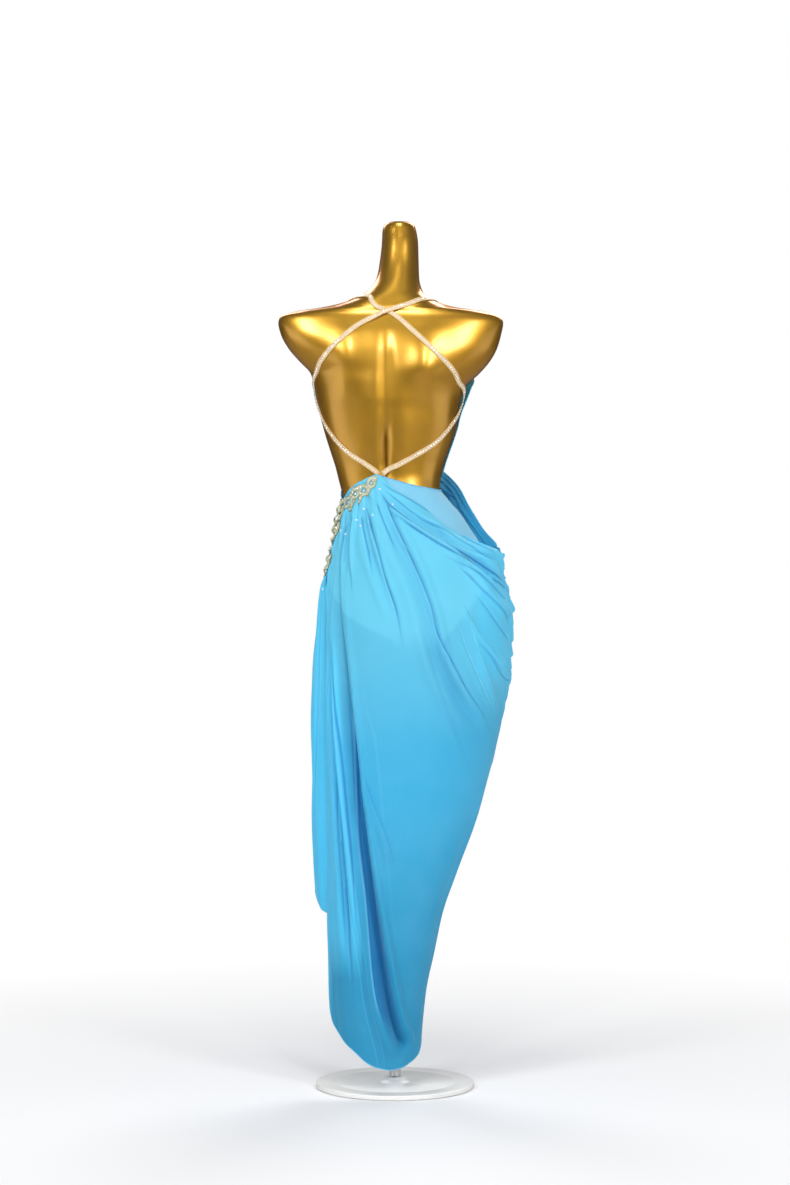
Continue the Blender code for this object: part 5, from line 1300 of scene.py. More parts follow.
def brushed_steel():
    made, g, shader = finish_of("brushed_steel", Metallic=1.0, Anisotropic=0.4)
    hand = placed(g, "handling", Roughness=0.26, Smear=0.10)
    place = g.object_place()
    stretched = g.add("ShaderNodeMapping", {"Vector": place, "Scale": (40.0, 40.0, 1600.0)}).outputs[0]
    lines = g.noise(stretched, 1.0, 3.0)
    g.link(g.mixed(lines, rgb(176, 178, 182), rgb(214, 215, 218)), shader["Base Color"])
    g.link(hand["Roughness"], shader["Roughness"])
    bumped(g, shader, lines, 0.00003, 0.4)
    return made


FINISH = {
    "mesh": sheer_blue(), "lining": blue_lining(), "edge": rolled_thread(), "gold": gold_lacquer(),
    "strap": strap_band(), "thread": applique_thread(), "crystal": crystal(), "enamel": white_enamel(),
    "steel": brushed_steel(),
}


# ---------------------------------------------------------------- the dress form and its stand
FORM_COLUMNS = 264
FORM_STEPS = 5          # rows between two sections of the table
SPINE = 0.0171          # where the groove lies across
SPINE_DEEP = 0.0022
SPINE_WIDE = (0.0040, 0.0075)           # at its top and at its foot
SPINE_TOP = 1.262
SPINE_TALL = 0.110
SPINE_FADE = 0.35       # share of its height in which it deepens
SPINE_SHADE = 1.5       # how much faster than its depth its painted shade falls off


def spine_cut(grid):
    """The narrow groove low on the back, and where painted shade darkens the form in it."""
    down = np.clip((SPINE_TOP - grid[..., 2]) / SPINE_TALL, 0, 1)
    wide = SPINE_WIDE[0] + (SPINE_WIDE[1] - SPINE_WIDE[0]) * down
    shape = bell((grid[..., 0] - SPINE) / wide) * ease(down / SPINE_FADE) * (grid[..., 1] > 0)
    grid = grid.copy()
    grid[..., 1] -= SPINE_DEEP * shape
    return grid, shape ** SPINE_SHADE


def make_form():
    turns = np.arange(FORM_COLUMNS) * 360.0 / FORM_COLUMNS
    marks = np.array(column(FORM, "height"))
    places = np.arange((len(marks) - 1) * FORM_STEPS + 1) / FORM_STEPS
    heights = np.interp(places, np.arange(len(marks)), marks)
    grid = form_at(turns[None, :] + 0 * heights[:, None], heights[:, None] + 0 * turns[None, :])
    grid, groove = spine_cut(grid)
    rows = len(heights)
    faces = grid_cells(rows, FORM_COLUMNS, loop=True).tolist()
    points = grid.reshape(-1, 3).tolist()
    for row, order in ((0, 1), (rows - 1, -1)):
        ring = [row * FORM_COLUMNS + c for c in range(FORM_COLUMNS)][::order]
        points.append(grid[row].mean(0).tolist())
        faces += [[b, a, len(points) - 1] for a, b in zip(ring, ring[1:] + ring[:1])]
    form = build("dress_form", points, faces, FINISH["gold"],
                 tones={"groove": groove.ravel().tolist() + [0.0, 0.0]})
    form.data.set_sharp_from_angle(angle=math.radians(50))
    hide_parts("form_body")


def turned(name, profile, sides, finish):
    """A round piece about the upright axis, from (radius, height) points, bottom to top."""
    points = [(r * math.cos(t), r * math.sin(t), h) for r, h in profile for t in round_turns(sides)]
    faces = grid_cells(len(profile), sides, loop=True).tolist()
    faces += [list(range(sides))[::-1], [(len(profile) - 1) * sides + i for i in range(sides)]]
    made = build(name, points, faces, finish)
    made.data.set_sharp_from_angle(angle=math.radians(35))
    return made


def make_stand():
    low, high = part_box("form_base")
    radius, boss, plate, soft, bevel = high.x, 0.019, 0.009, 0.0022, 0.0006
    bends = [math.radians(a) for a in range(0, 91, 15)]
    edge = [(radius - soft + soft * math.sin(a), low.z + soft - soft * math.cos(a)) for a in bends]
    edge += [(radius - soft + soft * math.cos(a), plate - soft + soft * math.sin(a)) for a in bends]
    dish = [(0.118, plate), (0.116, plate - 0.0006), (0.112, plate - 0.0006), (0.110, plate)]
    hub = [(0.030, plate), (0.0285, plate + 0.0015), (0.0235, plate + 0.0030), (0.0205, plate + 0.0065),
           (boss + 0.0005, high.z - 0.0008), (boss - 0.0005, high.z)]
    base = turned("stand_plate", edge + dish + hub, 128, FINISH["enamel"])
    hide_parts("form_base")
    low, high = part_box("form_pole")
    rod = [(high.x - bevel, low.z), (high.x, low.z + bevel), (high.x, high.z)]
    pole = turned("stand_pole", rod, 64, FINISH["steel"])
    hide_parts("form_pole")
    low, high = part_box("form_collar")
    collar = [(high.x - 0.003, low.z), (high.x - bevel, low.z + 0.0024), (high.x, low.z + 0.0034)]
    for turn in (0.010, 0.013, 0.016):
        collar += [(high.x, low.z + turn), (high.x - bevel, low.z + turn + 0.0004),
                   (high.x - bevel, low.z + turn + 0.0012), (high.x, low.z + turn + 0.0016)]
    collar += [(high.x, high.z - 0.0004), (high.x - 0.0004, high.z)]
    made = turned("stand_collar", collar, 64, FINISH["steel"])
    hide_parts("form_collar")


# ---------------------------------------------------------------- the cloth pieces
BRIEFS_LIFT = 0.0016    # the middle of the lining above the form
BODICE_LIFT = FIT + CLOTH / 2
BODICE_CLEAR = 0.0012   # the least the cups' cloth keeps off the form, and the skirt's with its briefs
SKIRT_CLEAR = HUG - 0.0012
EDGE_WIDE = 0.0022      # a rolled edge
EDGE_TALL = 0.0016
EDGE_LIFT = 0.0002


def flat_places(share, down, across, tall):
    return np.stack([share * across, down * tall], -1)


def make_briefs():
    gap = math.degrees(SEAM / 2 / HIP_RADIUS)
    back = (LEFT_SEAM + gap, RIGHT_SEAM - gap)
    front = (RIGHT_SEAM + gap, 360 + LEFT_SEAM - gap)
    made = {}
    for name, seams, top, leg in (("briefs_back", back, BRIEFS_TOP_BACK, BRIEFS_LEG_BACK),
                                  ("briefs_front", front, BRIEFS_TOP_FRONT, BRIEFS_LEG_FRONT)):
        spans = [Span(1.2, *seams), Span(0.8, *seams)]
        around, height, share, down = spanned(spans, top, leg, np.linspace(0, 1, 97),
                                              np.linspace(0, 1, 61) ** 1.2)
        grid = over_form(around, height, BRIEFS_LIFT)
        piece = shell(name + "_lining", grid, LINING, FINISH["lining"], flat_places(share, down, 0.36, 0.30))
        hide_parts(name)
        out = normal_at(form_at, around[0], height[0])
        roll = swept(name + "_top_edge", grid[0] + out * EDGE_LIFT, out, round_section(EDGE_TALL, EDGE_WIDE),
                     FINISH["edge"])
        made[name] = (piece, roll)
    return made


def make_gusset():
    """The strip between the legs, from the back panel's tip under the form to the front's."""
    low = FORM[-1].height
    marks = [GUSSET_TOP, 0.815, 0.805, 0.797, 0.790, 0.784, 0.780, 0.7772]
    heights = np.interp(np.linspace(0, len(marks) - 1, 36), np.arange(len(marks)), marks)
    back = over_form(np.full(36, 91.0), heights, BODICE_LIFT)
    front = over_form(np.full(35, 270.0), heights[:-1][::-1], BODICE_LIFT)
    under = np.array([[GUSSET_ACROSS, y, low - BODICE_LIFT] for y in np.linspace(0.030, -0.022, 16)])
    middle = spline(np.vstack([back[::4], under[::3], front[::4]]), 90)
    pinch = np.linspace(-1, 1, len(middle)) ** 2
    width = GUSSET_NARROW + (GUSSET_WIDE - GUSSET_NARROW) * pinch
    sides = np.linspace(-0.5, 0.5, 9)
    grid = np.stack([middle + np.outer(width * side, [1, 0, 0]) for side in sides], 1)
    flat = np.stack(np.meshgrid(sides * GUSSET_NARROW, np.linspace(0, 0.2, len(middle))), -1)
    piece = shell("briefs_gusset_lining", grid, LINING, FINISH["lining"], flat)
    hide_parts("briefs_gusset")
    return piece


def bodice_places(spans, columns, rows):
    down = np.linspace(0, 1, rows)[:, None]
    share = np.linspace(0, 1, columns)[None, :]
    height = spans[0].height + (spans[-1].height - spans[0].height) * down + 0 * share
    start, end = (curve(spans, "height", side, height) for side in ("start", "end"))
    return start + (end - start) * share, height, share + 0 * down, down + 0 * share


CUP_FULL = 1.7          # how much fuller the cups' gathers are than their table says
CUP_COLUMNS = 110
CUP_ROWS = 190
CUP_ROLL_FOOT = 150     # the row where the rolled edge starts, up the middle of the front
CUP_INSIDE = (60, 50)   # a row and column well inside the cup, where its outer face shows plainly
CUP_EDGE = 0.04         # share of a cup's width at each side without gathers
CUP_WIDE = 0.13
CUP_LINED = 0.85


def make_bodice():
    made = {}
    for name, spans in (("bodice_right", BODICE_RIGHT), ("bodice_left", BODICE_LEFT)):
        around, height, share, down = bodice_places(spans, CUP_COLUMNS, CUP_ROWS)
        out = normal_at(form_at, around, height)
        lines = no_lines(share.shape)
        push = CUP_FULL * gathered(CUP_GATHERS, share, down, CUP_WIDE, lines)
        edge = ease(share / CUP_EDGE) * ease((1 - share) / CUP_EDGE)
        grid = bodice_at(around, height) + out * (push * edge)[..., None]
        grid = clear_of_form(grid, BODICE_CLEAR)
        plain, full = 0 * share, np.ones(share.shape)
        # The cups get the painted glow of light through thin cloth all over, no painted shade, and the
        # painted lines of their gathers.
        tones = {"lined": CUP_LINED * full, "backed": full, "painted_shade": plain, "line": lines.strength,
                 "beside": lines.beside, "low": plain, "thin": full}
        piece = shell(name + "_cloth", grid, MESH_CLOTH, FINISH["mesh"], flat_places(share, down, 0.14, 0.30),
                      tones)
        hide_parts(name)
        rim = [(r, 0) for r in range(CUP_ROLL_FOOT, -1, -1)] + [(0, c) for c in range(1, CUP_COLUMNS)]
        rim += [(r, CUP_COLUMNS - 1) for r in range(1, CUP_ROWS)]
        r, c = np.array(rim).T
        faces_out = grid_out(grid)
        faces_out *= np.sign((faces_out[CUP_INSIDE] * out[CUP_INSIDE]).sum())
        roll = swept(name + "_edge", grid[r, c], faces_out[r, c], round_section(EDGE_WIDE, EDGE_TALL),
                     FINISH["edge"])
        made[name] = (piece, roll)
    return made


# `columns` and `lines` give a panel's grid: how many, and where they crowd; `edge` is where along the
# top the rolled edge stops, and the cloth is only turned under.
Panel = namedtuple("Panel", "rows spans top hem surface guides creases folds gathers columns lines edge")
# Across at each height: where the deep fold's edge lies, and how far its painted shade reaches.
Brim = namedtuple("Brim", "height edge reach")
DEEP_FOLD = table(Brim, [
    (1.060, 0.104, 0.100), (0.771, 0.0912, 0.0880), (0.657, 0.0836, 0.0760), (0.543, 0.0765, 0.0627),
    (0.467, 0.0700, 0.0513), (0.353, 0.0551, 0.0323), (0.220, 0.0418, 0.0133), (0.163, 0.0323, 0.0010),
    (0.125, 0.0180, -0.0095), (0.070, 0.0000, -0.0300),
])
# Where the mesh's painted shade and painted light change: each mark is a place, across or in height, and the
# run of the change.
DEEP_EDGE = 0.0025
DEEP_SOFT = 0.0090
DEEP_TOP = (0.80, 0.20)
DEEP_FOOT = (0.090, 0.070)
BRIGHT_EDGE = (0.002, 0.018)    # left of the deep fold's edge, where painted light brightens the mesh
BRIGHT_TOP = (0.98, 0.20)
BRIGHT_FOOT = (0.060, 0.260)
# Where the painted glow of light through the mesh sets in: at the left, low down, and at the right hip.
PAINTED_GLOW_LEFT = (0.100, 0.030)
PAINTED_GLOW_LOW = (0.84, 0.34)
PAINTED_GLOW_HIP = (-0.105, 0.060)
PAINTED_GLOW_HIP_FOOT = (0.62, 0.20)
COWL_SIDE = (-0.080, 0.030)     # inside the cowl
COWL_FOOT = (1.000, 0.030)
COWL_FAR = (-0.112, 0.055)      # behind the hip, where the cowl gets more painted light
BACKED_FOOT = (0.60, 0.24)      # above it the form backs the cloth
LOW_TOP = (0.62, 0.50)
# How much painted light (a paler colour and a glow) the mesh gets there, and how far painted shade deepens
# its colour.
LIGHT = {"left": 1.6, "hip": 1.3, "beside the deep fold": 1.55, "cowl": 1.1, "far cowl": 1.6}
PAINTED_SHADE_AMOUNT = {"crisp fold": 0.75, "folds": 0.8, "deep fold": 0.72, "cowl": 0.55}


def deep_fold(points):
    """How much the deep fold's painted shade darkens the back panel, and how much painted light the cloth
    left of it gets.
    """
    across, height = points[..., 0], points[..., 2]
    edge, reach = (curve(DEEP_FOLD, "height", name, height) for name in ("edge", "reach"))
    inside = ease((edge - across) / DEEP_EDGE) * ease((across - reach) / DEEP_SOFT + 0.6)
    inside = inside * short_of(height, DEEP_TOP) * past(height, DEEP_FOOT)
    beside = past(across - edge, BRIGHT_EDGE)
    return inside, beside * short_of(height, BRIGHT_TOP) * past(height, BRIGHT_FOOT)


SKIRTS = {
    "back": Panel(SKIRT_BACK, BACK_SPAN, BACK_TOP, BACK_HEM, skirt_back_at, BACK_GUIDES, BACK_CREASES,
                  BACK_FOLDS, BACK_GATHERS,
                  (212, [(0, 2.6), (0.42, 2.6), (0.60, 1.1), (0.85, 1.1), (1, 2.0)]),
                  (230, [(0, 3.2), (0.30, 2.6), (0.42, 1.0), (0.93, 1.0), (1, 1.8)]), 0.44),
    "front": Panel(SKIRT_FRONT, FRONT_SPAN, FRONT_TOP, FRONT_HEM, skirt_front_at, FRONT_GUIDES, FRONT_CREASES,
                   FRONT_FOLDS, FRONT_GATHERS, (216, [(0, 1.0), (0.4, 1.0), (0.85, 1.0), (1, 2.0)]),
                   (226, [(0, 1.4), (0.5, 1.2), (1, 1.0)]), 1.0),
}
PANEL_WIDE = 0.40
PANEL_TALL = 1.1
RIPPLE = 0.0010
RIPPLE_FROM = 0.2       # share of the way down a panel where it ripples fully
TUCK_TURN = 3.4         # degrees the front panel runs on behind the back one at the gathered seam
TUCK_DEEP = 0.0018
TUCK_TOP = 0.990
TUCK_RUN = 0.012        # height in which the tuck starts and stops
TUCK_SIDE = (0.97, 0.03)


def two_faced(faces_out, outer, inner):
    """A tone with one value on a cloth's outer face and another inside. A shell's first layer is the
    face that its grid points from, which is the outer one where `faces_out` is above 0."""
    return np.stack([outer, inner] if faces_out > 0 else [inner, outer])


def skirt_tones(side, grid, painted_shade, faces_out):
    """How far painted shade deepens the mesh's colour, and how much painted light (a paler colour and a glow)
    it gets.
    """
    across, height = grid[..., 0], grid[..., 2]
    thin = np.maximum(LIGHT["left"] * past(across, PAINTED_GLOW_LEFT), short_of(height, PAINTED_GLOW_LOW))
    if side == "back":
        shaded, bright = deep_fold(grid)
        painted_shade = np.maximum(PAINTED_SHADE_AMOUNT["folds"] * painted_shade, PAINTED_SHADE_AMOUNT["deep fold"] * shaded)
        thin = np.maximum(thin, LIGHT["beside the deep fold"] * bright)
        return painted_shade, np.maximum(thin, LIGHT["hip"] * short_of(across, PAINTED_GLOW_HIP) * past(height, PAINTED_GLOW_HIP_FOOT))
    cowl = short_of(across, COWL_SIDE) * past(height, COWL_FOOT)
    far = short_of(across, COWL_FAR)
    inner = np.maximum(thin, (LIGHT["cowl"] + LIGHT["far cowl"] * far) * cowl)
    shade = np.maximum(painted_shade, PAINTED_SHADE_AMOUNT["cowl"] * cowl * (1 - far))
    return two_faced(faces_out, painted_shade, shade), two_faced(faces_out, thin, inner)


def make_skirt(side):
    panel = SKIRTS[side]
    around, height, share, down = spanned(panel.spans, panel.top, panel.hem, crowded(*panel.columns),
                                          crowded(*panel.lines), panel.guides)
    tucked = 0.0
    if side == "front":
        tucked = past(share, TUCK_SIDE) * past(height, (RIGHT_FREE, TUCK_RUN))
        tucked = tucked * short_of(height, (TUCK_TOP, TUCK_RUN))
        around = around - TUCK_TURN * tucked
    hang = section(panel.rows, around, height)
    # `crisp` is the crisp folds' painted shade, and `lines` their painted lines.
    small, crisp, lines = fold_push(hang, panel.folds, panel.rows)
    small = small + gathered(panel.gathers, share, down, PANEL_WIDE, lines)
    small = small + pinched(side, around, height, PANEL_WIDE, lines)
    small = small + rippled(hang, RIPPLE) * ease(down / RIPPLE_FROM) - TUCK_DEEP * tucked
    grid = clear_of_form(panel.surface(around, height, small), SKIRT_CLEAR)
    rows, columns = share.shape
    centre = (slice(rows // 2, rows // 2 + 1), slice(columns // 2, columns // 2 + 1))
    outward = normal_at(lambda a, h: section(panel.rows, a, h), around[centre], height[centre])
    faces_out = np.sign((grid_out(grid)[centre] * outward).sum())
    # Painted shade in the creases and the crisp folds.
    painted_shade = np.maximum(crease_push(hang, panel.creases, panel.rows)[1], PAINTED_SHADE_AMOUNT["crisp fold"] * crisp)
    painted_shade, thin = skirt_tones(side, grid, painted_shade, faces_out)
    tones = {"lined": over_briefs(grid), "backed": past(grid[..., 2], BACKED_FOOT), "painted_shade": painted_shade,
             "low": short_of(grid[..., 2], LOW_TOP), "beside": lines.beside, "line": lines.strength,
             "thin": thin}
    name = "skirt_" + side
    piece = shell(name + "_mesh", grid, MESH_CLOTH, FINISH["mesh"],
                  flat_places(share, down, PANEL_WIDE, PANEL_TALL), tones)
    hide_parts(name)
    # Down the right seam, round the hem, up the left edge and along the top as far as the roll goes.
    rim = rim_of(rows, columns)[columns - 1:] + [(0, c) for c in range(columns) if share[0, c] < panel.edge]
    r, c = np.array(rim).T
    roll = swept(name + "_rolled_edge", grid[r, c], (grid_out(grid) * faces_out)[r, c],
                 round_section(EDGE_WIDE, EDGE_TALL), FINISH["edge"])
    return piece, roll


# ---------------------------------------------------------------- straps and stones
STRAP_FINE = 5          # steps here for each step of the solid
STONE_ON_STRAP = 0.0034
STONE_PITCH = 0.0060
STONE_LIFT = 0.0003


def strap_frames(rows, steps):
    """Middle line of a strap, and its outward directions."""
    path = spline(rows, steps)
    around, height, lift = path[:, 0], path[:, 1], np.maximum(path[:, 2], 0)
    out = normal_at(form_at, around, height)
    middle = form_at(around, height) + out * (LAY + STRAP_THICK / 2 + lift)[:, None]
    return middle, out


def band_section():
    """Across a strap: a low ridge beside each edge, over a flat underside, as (sideways, outward)."""
    half = STRAP_WIDTH / 2
    left = [(-half, -0.0003), (-half + 0.0003, 0.0004), (-half + 0.0014, 0.0006), (-half + 0.0020, 0.0004)]
    right = [(-x, y) for x, y in reversed(left)]
    return left + [(0, 0.0005)] + right + [(half - 0.0006, -0.0006), (0, -0.0006), (-half + 0.0006, -0.0006)]


def make_straps():
    made = []
    for name, rows in STRAPS.items():
        middle, out = strap_frames(rows, STRAP_STEPS[name] * STRAP_FINE)
        strap = swept(name + "_band", middle, out, band_section(), FINISH["strap"])
        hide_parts(name)
        reach = run_along(middle)[1]
        marks = np.arange(STONE_PITCH, reach[-1] - STONE_PITCH / 2, STONE_PITCH)
        spots, ways = (np.stack([np.interp(marks, reach, values[:, i]) for i in range(3)], -1)
                       for values in (middle, out))
        ways = unit(ways)
        row = stones(name + "_stones", spots + ways * STONE_LIFT, ways, np.full(len(marks), STONE_ON_STRAP))
        made.append((strap, row, reach[-1]))
    return made


def stones(name, spots, ways, sizes):
    """Faceted flat-backed stones, each of eight sides, joined into one mesh."""
    sides = 8
    turns = round_turns(sides)
    rings = [(0.50, 0.00, 0.0), (0.50, 0.10, 0.0), (0.30, 0.34, 0.5)]   # radius, height and lag in size
    template = np.array([[r * math.cos(t + lag * turns[1]), r * math.sin(t + lag * turns[1]), h]
                         for r, h, lag in rings for t in turns])
    faces = grid_cells(3, sides, loop=True).tolist()
    corners = []
    for a, b, c, d in faces:
        corners += [[a, b, c, d]] if a < sides else [[a, b, d], [b, c, d]]
    corners += [list(range(sides))[::-1], [2 * sides + i for i in range(sides)]]
    points, joined, tint = [], [], []
    for number, (spot, way, size) in enumerate(zip(spots, ways, sizes)):
        way = Vector(way)
        east = way.orthogonal().normalized()
        north = way.cross(east)
        spin = 0.7 * number
        frame_of = np.array([east * math.cos(spin) + north * math.sin(spin),
                             north * math.cos(spin) - east * math.sin(spin), way])
        points.append(np.asarray(spot) + template * size @ frame_of)
        joined += [[i + number * len(template) for i in face] for face in corners]
        tint += [0.5 + 0.5 * math.sin(2.3 * number)] * len(template)
    made = build(name, np.concatenate(points), joined, FINISH["crystal"], tones={"tint": tint}, smooth=False)
    return made


# ---------------------------------------------------------------- applique
def curl_line(curl):
    t = np.linspace(0, 1, 22)
    angle = np.radians(curl.start + curl.sweep * t)
    radius = curl.radius + (curl.end_radius - curl.radius) * t
    return np.stack([curl.along + radius * np.cos(angle), curl.down + radius * np.sin(angle)], -1)


def leaf_place(points, leaf):
    """How far along and across a leaf each point lies, beside its half length and half width."""
    turn = math.radians(leaf.turn)
    east = points[..., 0] - leaf.along
    south = points[..., 1] - leaf.down
    long = (east * math.cos(turn) + south * math.sin(turn)) / (leaf.long / 2)
    wide = (south * math.cos(turn) - east * math.sin(turn)) / (leaf.wide / 2)
    return long, wide


def motif_field(points, curls, leaves):
    """Below 0 inside the embroidered shape."""
    field = np.full(points.shape[:-1], 1.0)
    for curl in curls:
        gap, _ = nearest_on(points, curl_line(curl))
        field = np.minimum(field, gap - curl.width / 2)
    for leaf in leaves:
        long, wide = leaf_place(points, leaf)
        field = np.minimum(field, (np.hypot(long, wide) - 1) * leaf.wide / 2)
    return field


def cut_shape(field, corner, pitch):
    """Faces of the part of a grid where the field is below 0, in its largest whole piece."""
    slots, points, faces = {}, [], []
    rows, columns = field.shape

    def place(key, spot):
        if key not in slots:
            slots[key] = len(points)
            points.append((corner[0] + spot[1] * pitch, corner[1] + spot[0] * pitch))
        return slots[key]

    for r in range(rows - 1):
        for c in range(columns - 1):
            around = [(r, c), (r, c + 1), (r + 1, c + 1), (r + 1, c)]
            face = []
            for a, b in zip(around, around[1:] + around[:1]):
                fa, fb = field[a], field[b]
                if fa < 0:
                    face.append(place(a, a))
                if (fa < 0) != (fb < 0):
                    first, second = min(a, b), max(a, b)
                    ff, fs = field[first], field[second]
                    t = min(max(ff / (ff - fs), 0.2), 0.8)
                    spot = [first[i] + (second[i] - first[i]) * t for i in (0, 1)]
                    face.append(place((first, second), spot))
            if len(face) > 2:
                faces.append(face)
    home = list(range(len(points)))

    def root(i):
        while home[i] != i:
            i = home[i]
        return i

    for face in faces:
        for i in face[1:]:
            home[root(i)] = root(face[0])
    roots = [root(f[0]) for f in faces]
    main = max(set(roots), key=roots.count)
    kept = [f for f, r in zip(faces, roots) if r == main]
    used = sorted({i for f in kept for i in f})
    renumber = {old: new for new, old in enumerate(used)}
    return np.array([points[i] for i in used]), [[renumber[i] for i in f] for f in kept]


def hip_at(around, height):
    back = skirt_back_at(np.maximum(around, LEFT_SEAM), height)
    front = skirt_front_at(np.minimum(around, LEFT_SEAM) + 360, height)
    return np.where((around > LEFT_SEAM)[..., None], back, front)


def hip_edge(around):
    back = curve(BACK_TOP, "around", "height", around)
    front = curve(FRONT_TOP, "around", "height", around + 360)
    return np.where(around > LEFT_SEAM, back, front)


def hip_place(along, down):
    """Turn a place in the flat applique into a place on the hip."""
    turns = np.linspace(APPLIQUE_START, APPLIQUE_END, 60)
    around = np.interp(along, run_along(form_at(turns, hip_edge(turns)))[1], turns)
    return around, hip_edge(around) - down


def laid_on(trees, places, out):
    """The cloth's outer face below each place, seen along the outward direction."""
    reach = 0.03
    found = []
    for place, way in zip(places, out):
        way = Vector(way)
        start = Vector(place) + way * reach
        hits = [tree.ray_cast(start, -way, 2 * reach)[3] for tree in trees]
        hits = [h for h in hits if h is not None]
        found.append(start - way * min(hits) if hits else Vector(place))
    return np.array([tuple(spot) for spot in found])


APPLIQUE_FINE = 0.0010
LACE_RISE = 0.0012      # how high the rounded threads stand over the net
LACE_FULL = 1.22        # the threads' fullness beside the solid's
LACE_LONG = 1.20
LACE_DROP = 0.0025
LACE_STAND = 0.0050     # how far its curls stand off the cloth where it rounds the hip
LACE_FREE = ((0.082, 0.012), (0.128, 0.016))    # marks along it, between which they do
LACE_WAVE = 0.0030
LACE_AIR = 0.0001
LACE_MARGIN = 0.018
LEAF_RISE = 0.0014
LEAF_VEIN = 0.0006
CURL_STONE = 0.0040
LEAF_STONES = ((-0.30, 0.0022), (0.02, 0.0028), (0.32, 0.0022))     # share along the leaf, and size
ROW_STONE = 0.0020
LOOSE_STONE = 0.0042
STONES_FROM = 0.3       # how far behind the dress a loose stone's place on the cloth is looked for
LOOSE_STONES = [
    (0.0285, 1.131), (0.0589, 1.094), (0.0722, 1.073), (0.0646, 1.062), (0.1026, 1.054),
    (0.0418, 1.082), (0.0038, 1.102), (0.0931, 1.047), (0.1370, 0.943),
]


def motif_relief(points, curls, leaves):
    """How far the embroidery stands up, and the direction along its stitches."""
    rise = np.zeros(points.shape[:-1])
    along = np.zeros(points.shape[:-1])
    for curl in curls:
        gap, run = nearest_on(points, curl_line(curl))
        round_up = np.sqrt(np.clip(1 - (gap / (curl.width / 2)) ** 2, 0, 1)) * LACE_RISE
        length = abs(math.radians(curl.sweep)) * (curl.radius + curl.end_radius) / 2
        along = np.where(round_up > rise, run * length, along)
        rise = np.maximum(rise, round_up)
    for leaf in leaves:
        long, wide = leaf_place(points, leaf)
        dome = np.sqrt(np.clip(1 - long ** 2 - wide ** 2, 0, 1)) * LEAF_RISE
        dome = dome - LEAF_VEIN * bell(wide / 0.16) * (dome > 0)
        along = np.where(dome > rise, (long - 0.5 * np.abs(wide)) * leaf.long / 2, along)
        rise = np.maximum(rise, dome)
    return rise, along


def closed_faces(faces, count):
    """The faces of a cut sheet: its outer side, its inner side `count` points on, and its cut edges."""
    edges = {}
    for face in faces:
        for a, b in zip(face, face[1:] + face[:1]):
            edges.setdefault((min(a, b), max(a, b)), []).append((a, b))
    walls = [pair[0] for pair in edges.values() if len(pair) == 1]
    both = [list(face) for face in faces] + [[count + i for i in reversed(face)] for face in faces]
    return both + [[b, a, count + a, count + b] for a, b in walls]


def make_lace(name, curls, leaves, trees):
    """A net cut to the shape of its curls and leaves, laid on the cloth, with rounded threads."""
    spots = np.array([(c.along, c.down) for c in curls] + [(f.along, f.down) for f in leaves])
    low, high = spots.min(0) - LACE_MARGIN, spots.max(0) + LACE_MARGIN
    low[1] = max(low[1], 0.0005)
    counts = np.ceil((high - low) / APPLIQUE_FINE).astype(int) + 1
    across, down = (low[i] + np.arange(counts[i]) * APPLIQUE_FINE for i in (0, 1))
    grid = np.stack(np.meshgrid(across, down), -1)
    flat, faces = cut_shape(motif_field(grid, curls, leaves), low, APPLIQUE_FINE)
    around, height = hip_place(flat[:, 0], flat[:, 1])
    out = normal_at(form_at, around, height)
    under = laid_on(trees, hip_at(around, height), out)
    rise, along = motif_relief(flat, curls, leaves)
    start, end = LACE_FREE
    stand = LACE_STAND * (past(flat[:, 0], start) * short_of(flat[:, 0], end))
    stand = stand * (0.55 + 0.45 * np.sin(flat[:, 1] / LACE_WAVE))
    inner = under + out * (LACE_AIR + stand)[:, None]
    outer = inner + out * (APPLIQUE_THICK + rise)[:, None]
    stitches = np.stack([along, flat[:, 1]], -1)
    # Painted shade: the lower the thread stands, the darker it is painted, at its edges and between threads.
    edge = np.clip(1 - rise / LACE_RISE, 0, 1) ** 2
    piece = build(name + "_lace", np.vstack([outer, inner]), closed_faces(faces, len(flat)),
                  FINISH["thread"], np.vstack([stitches, stitches]), {"edge": np.concatenate([edge, edge])})
    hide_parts(name)
    return piece


def make_lace_stones(name, curls, leaves, trees):
    """One stone in the heart of each curl, three down each leaf, and small ones round each curl."""
    picks = [(curl.along, curl.down, CURL_STONE) for curl in curls]
    for leaf in leaves:
        turn = math.radians(leaf.turn)
        picks += [(leaf.along + math.cos(turn) * leaf.long * share,
                   leaf.down + math.sin(turn) * leaf.long * share, size) for share, size in LEAF_STONES]
    for curl in curls:
        line = curl_line(curl)
        picks += [(*line[i], ROW_STONE) for i in range(2, len(line) - 1, 5)]
    along, down, sizes = np.array(picks).T
    around, height = hip_place(along, down)
    out = normal_at(form_at, around, height)
    return stones(name + "_stones", laid_on(trees, hip_at(around, height), out), out, sizes)


def make_loose_stones(trees):
    """The stones strewn over the back of the skirt, each on the cloth that shows at its place."""
    way = Vector((0.0, 1.0, 0.0))
    spots, normals = [], []
    for across, height in LOOSE_STONES:
        hits = [tree.ray_cast(Vector((across, STONES_FROM, height)), -way) for tree in trees]
        spot, normal, _, _ = min((hit for hit in hits if hit[0] is not None), key=lambda hit: hit[3])
        spots.append(tuple(spot))
        normals.append(tuple(normal if normal.y > 0 else -normal))
    return stones("loose_stones", np.array(spots), np.array(normals), [LOOSE_STONE] * len(spots))


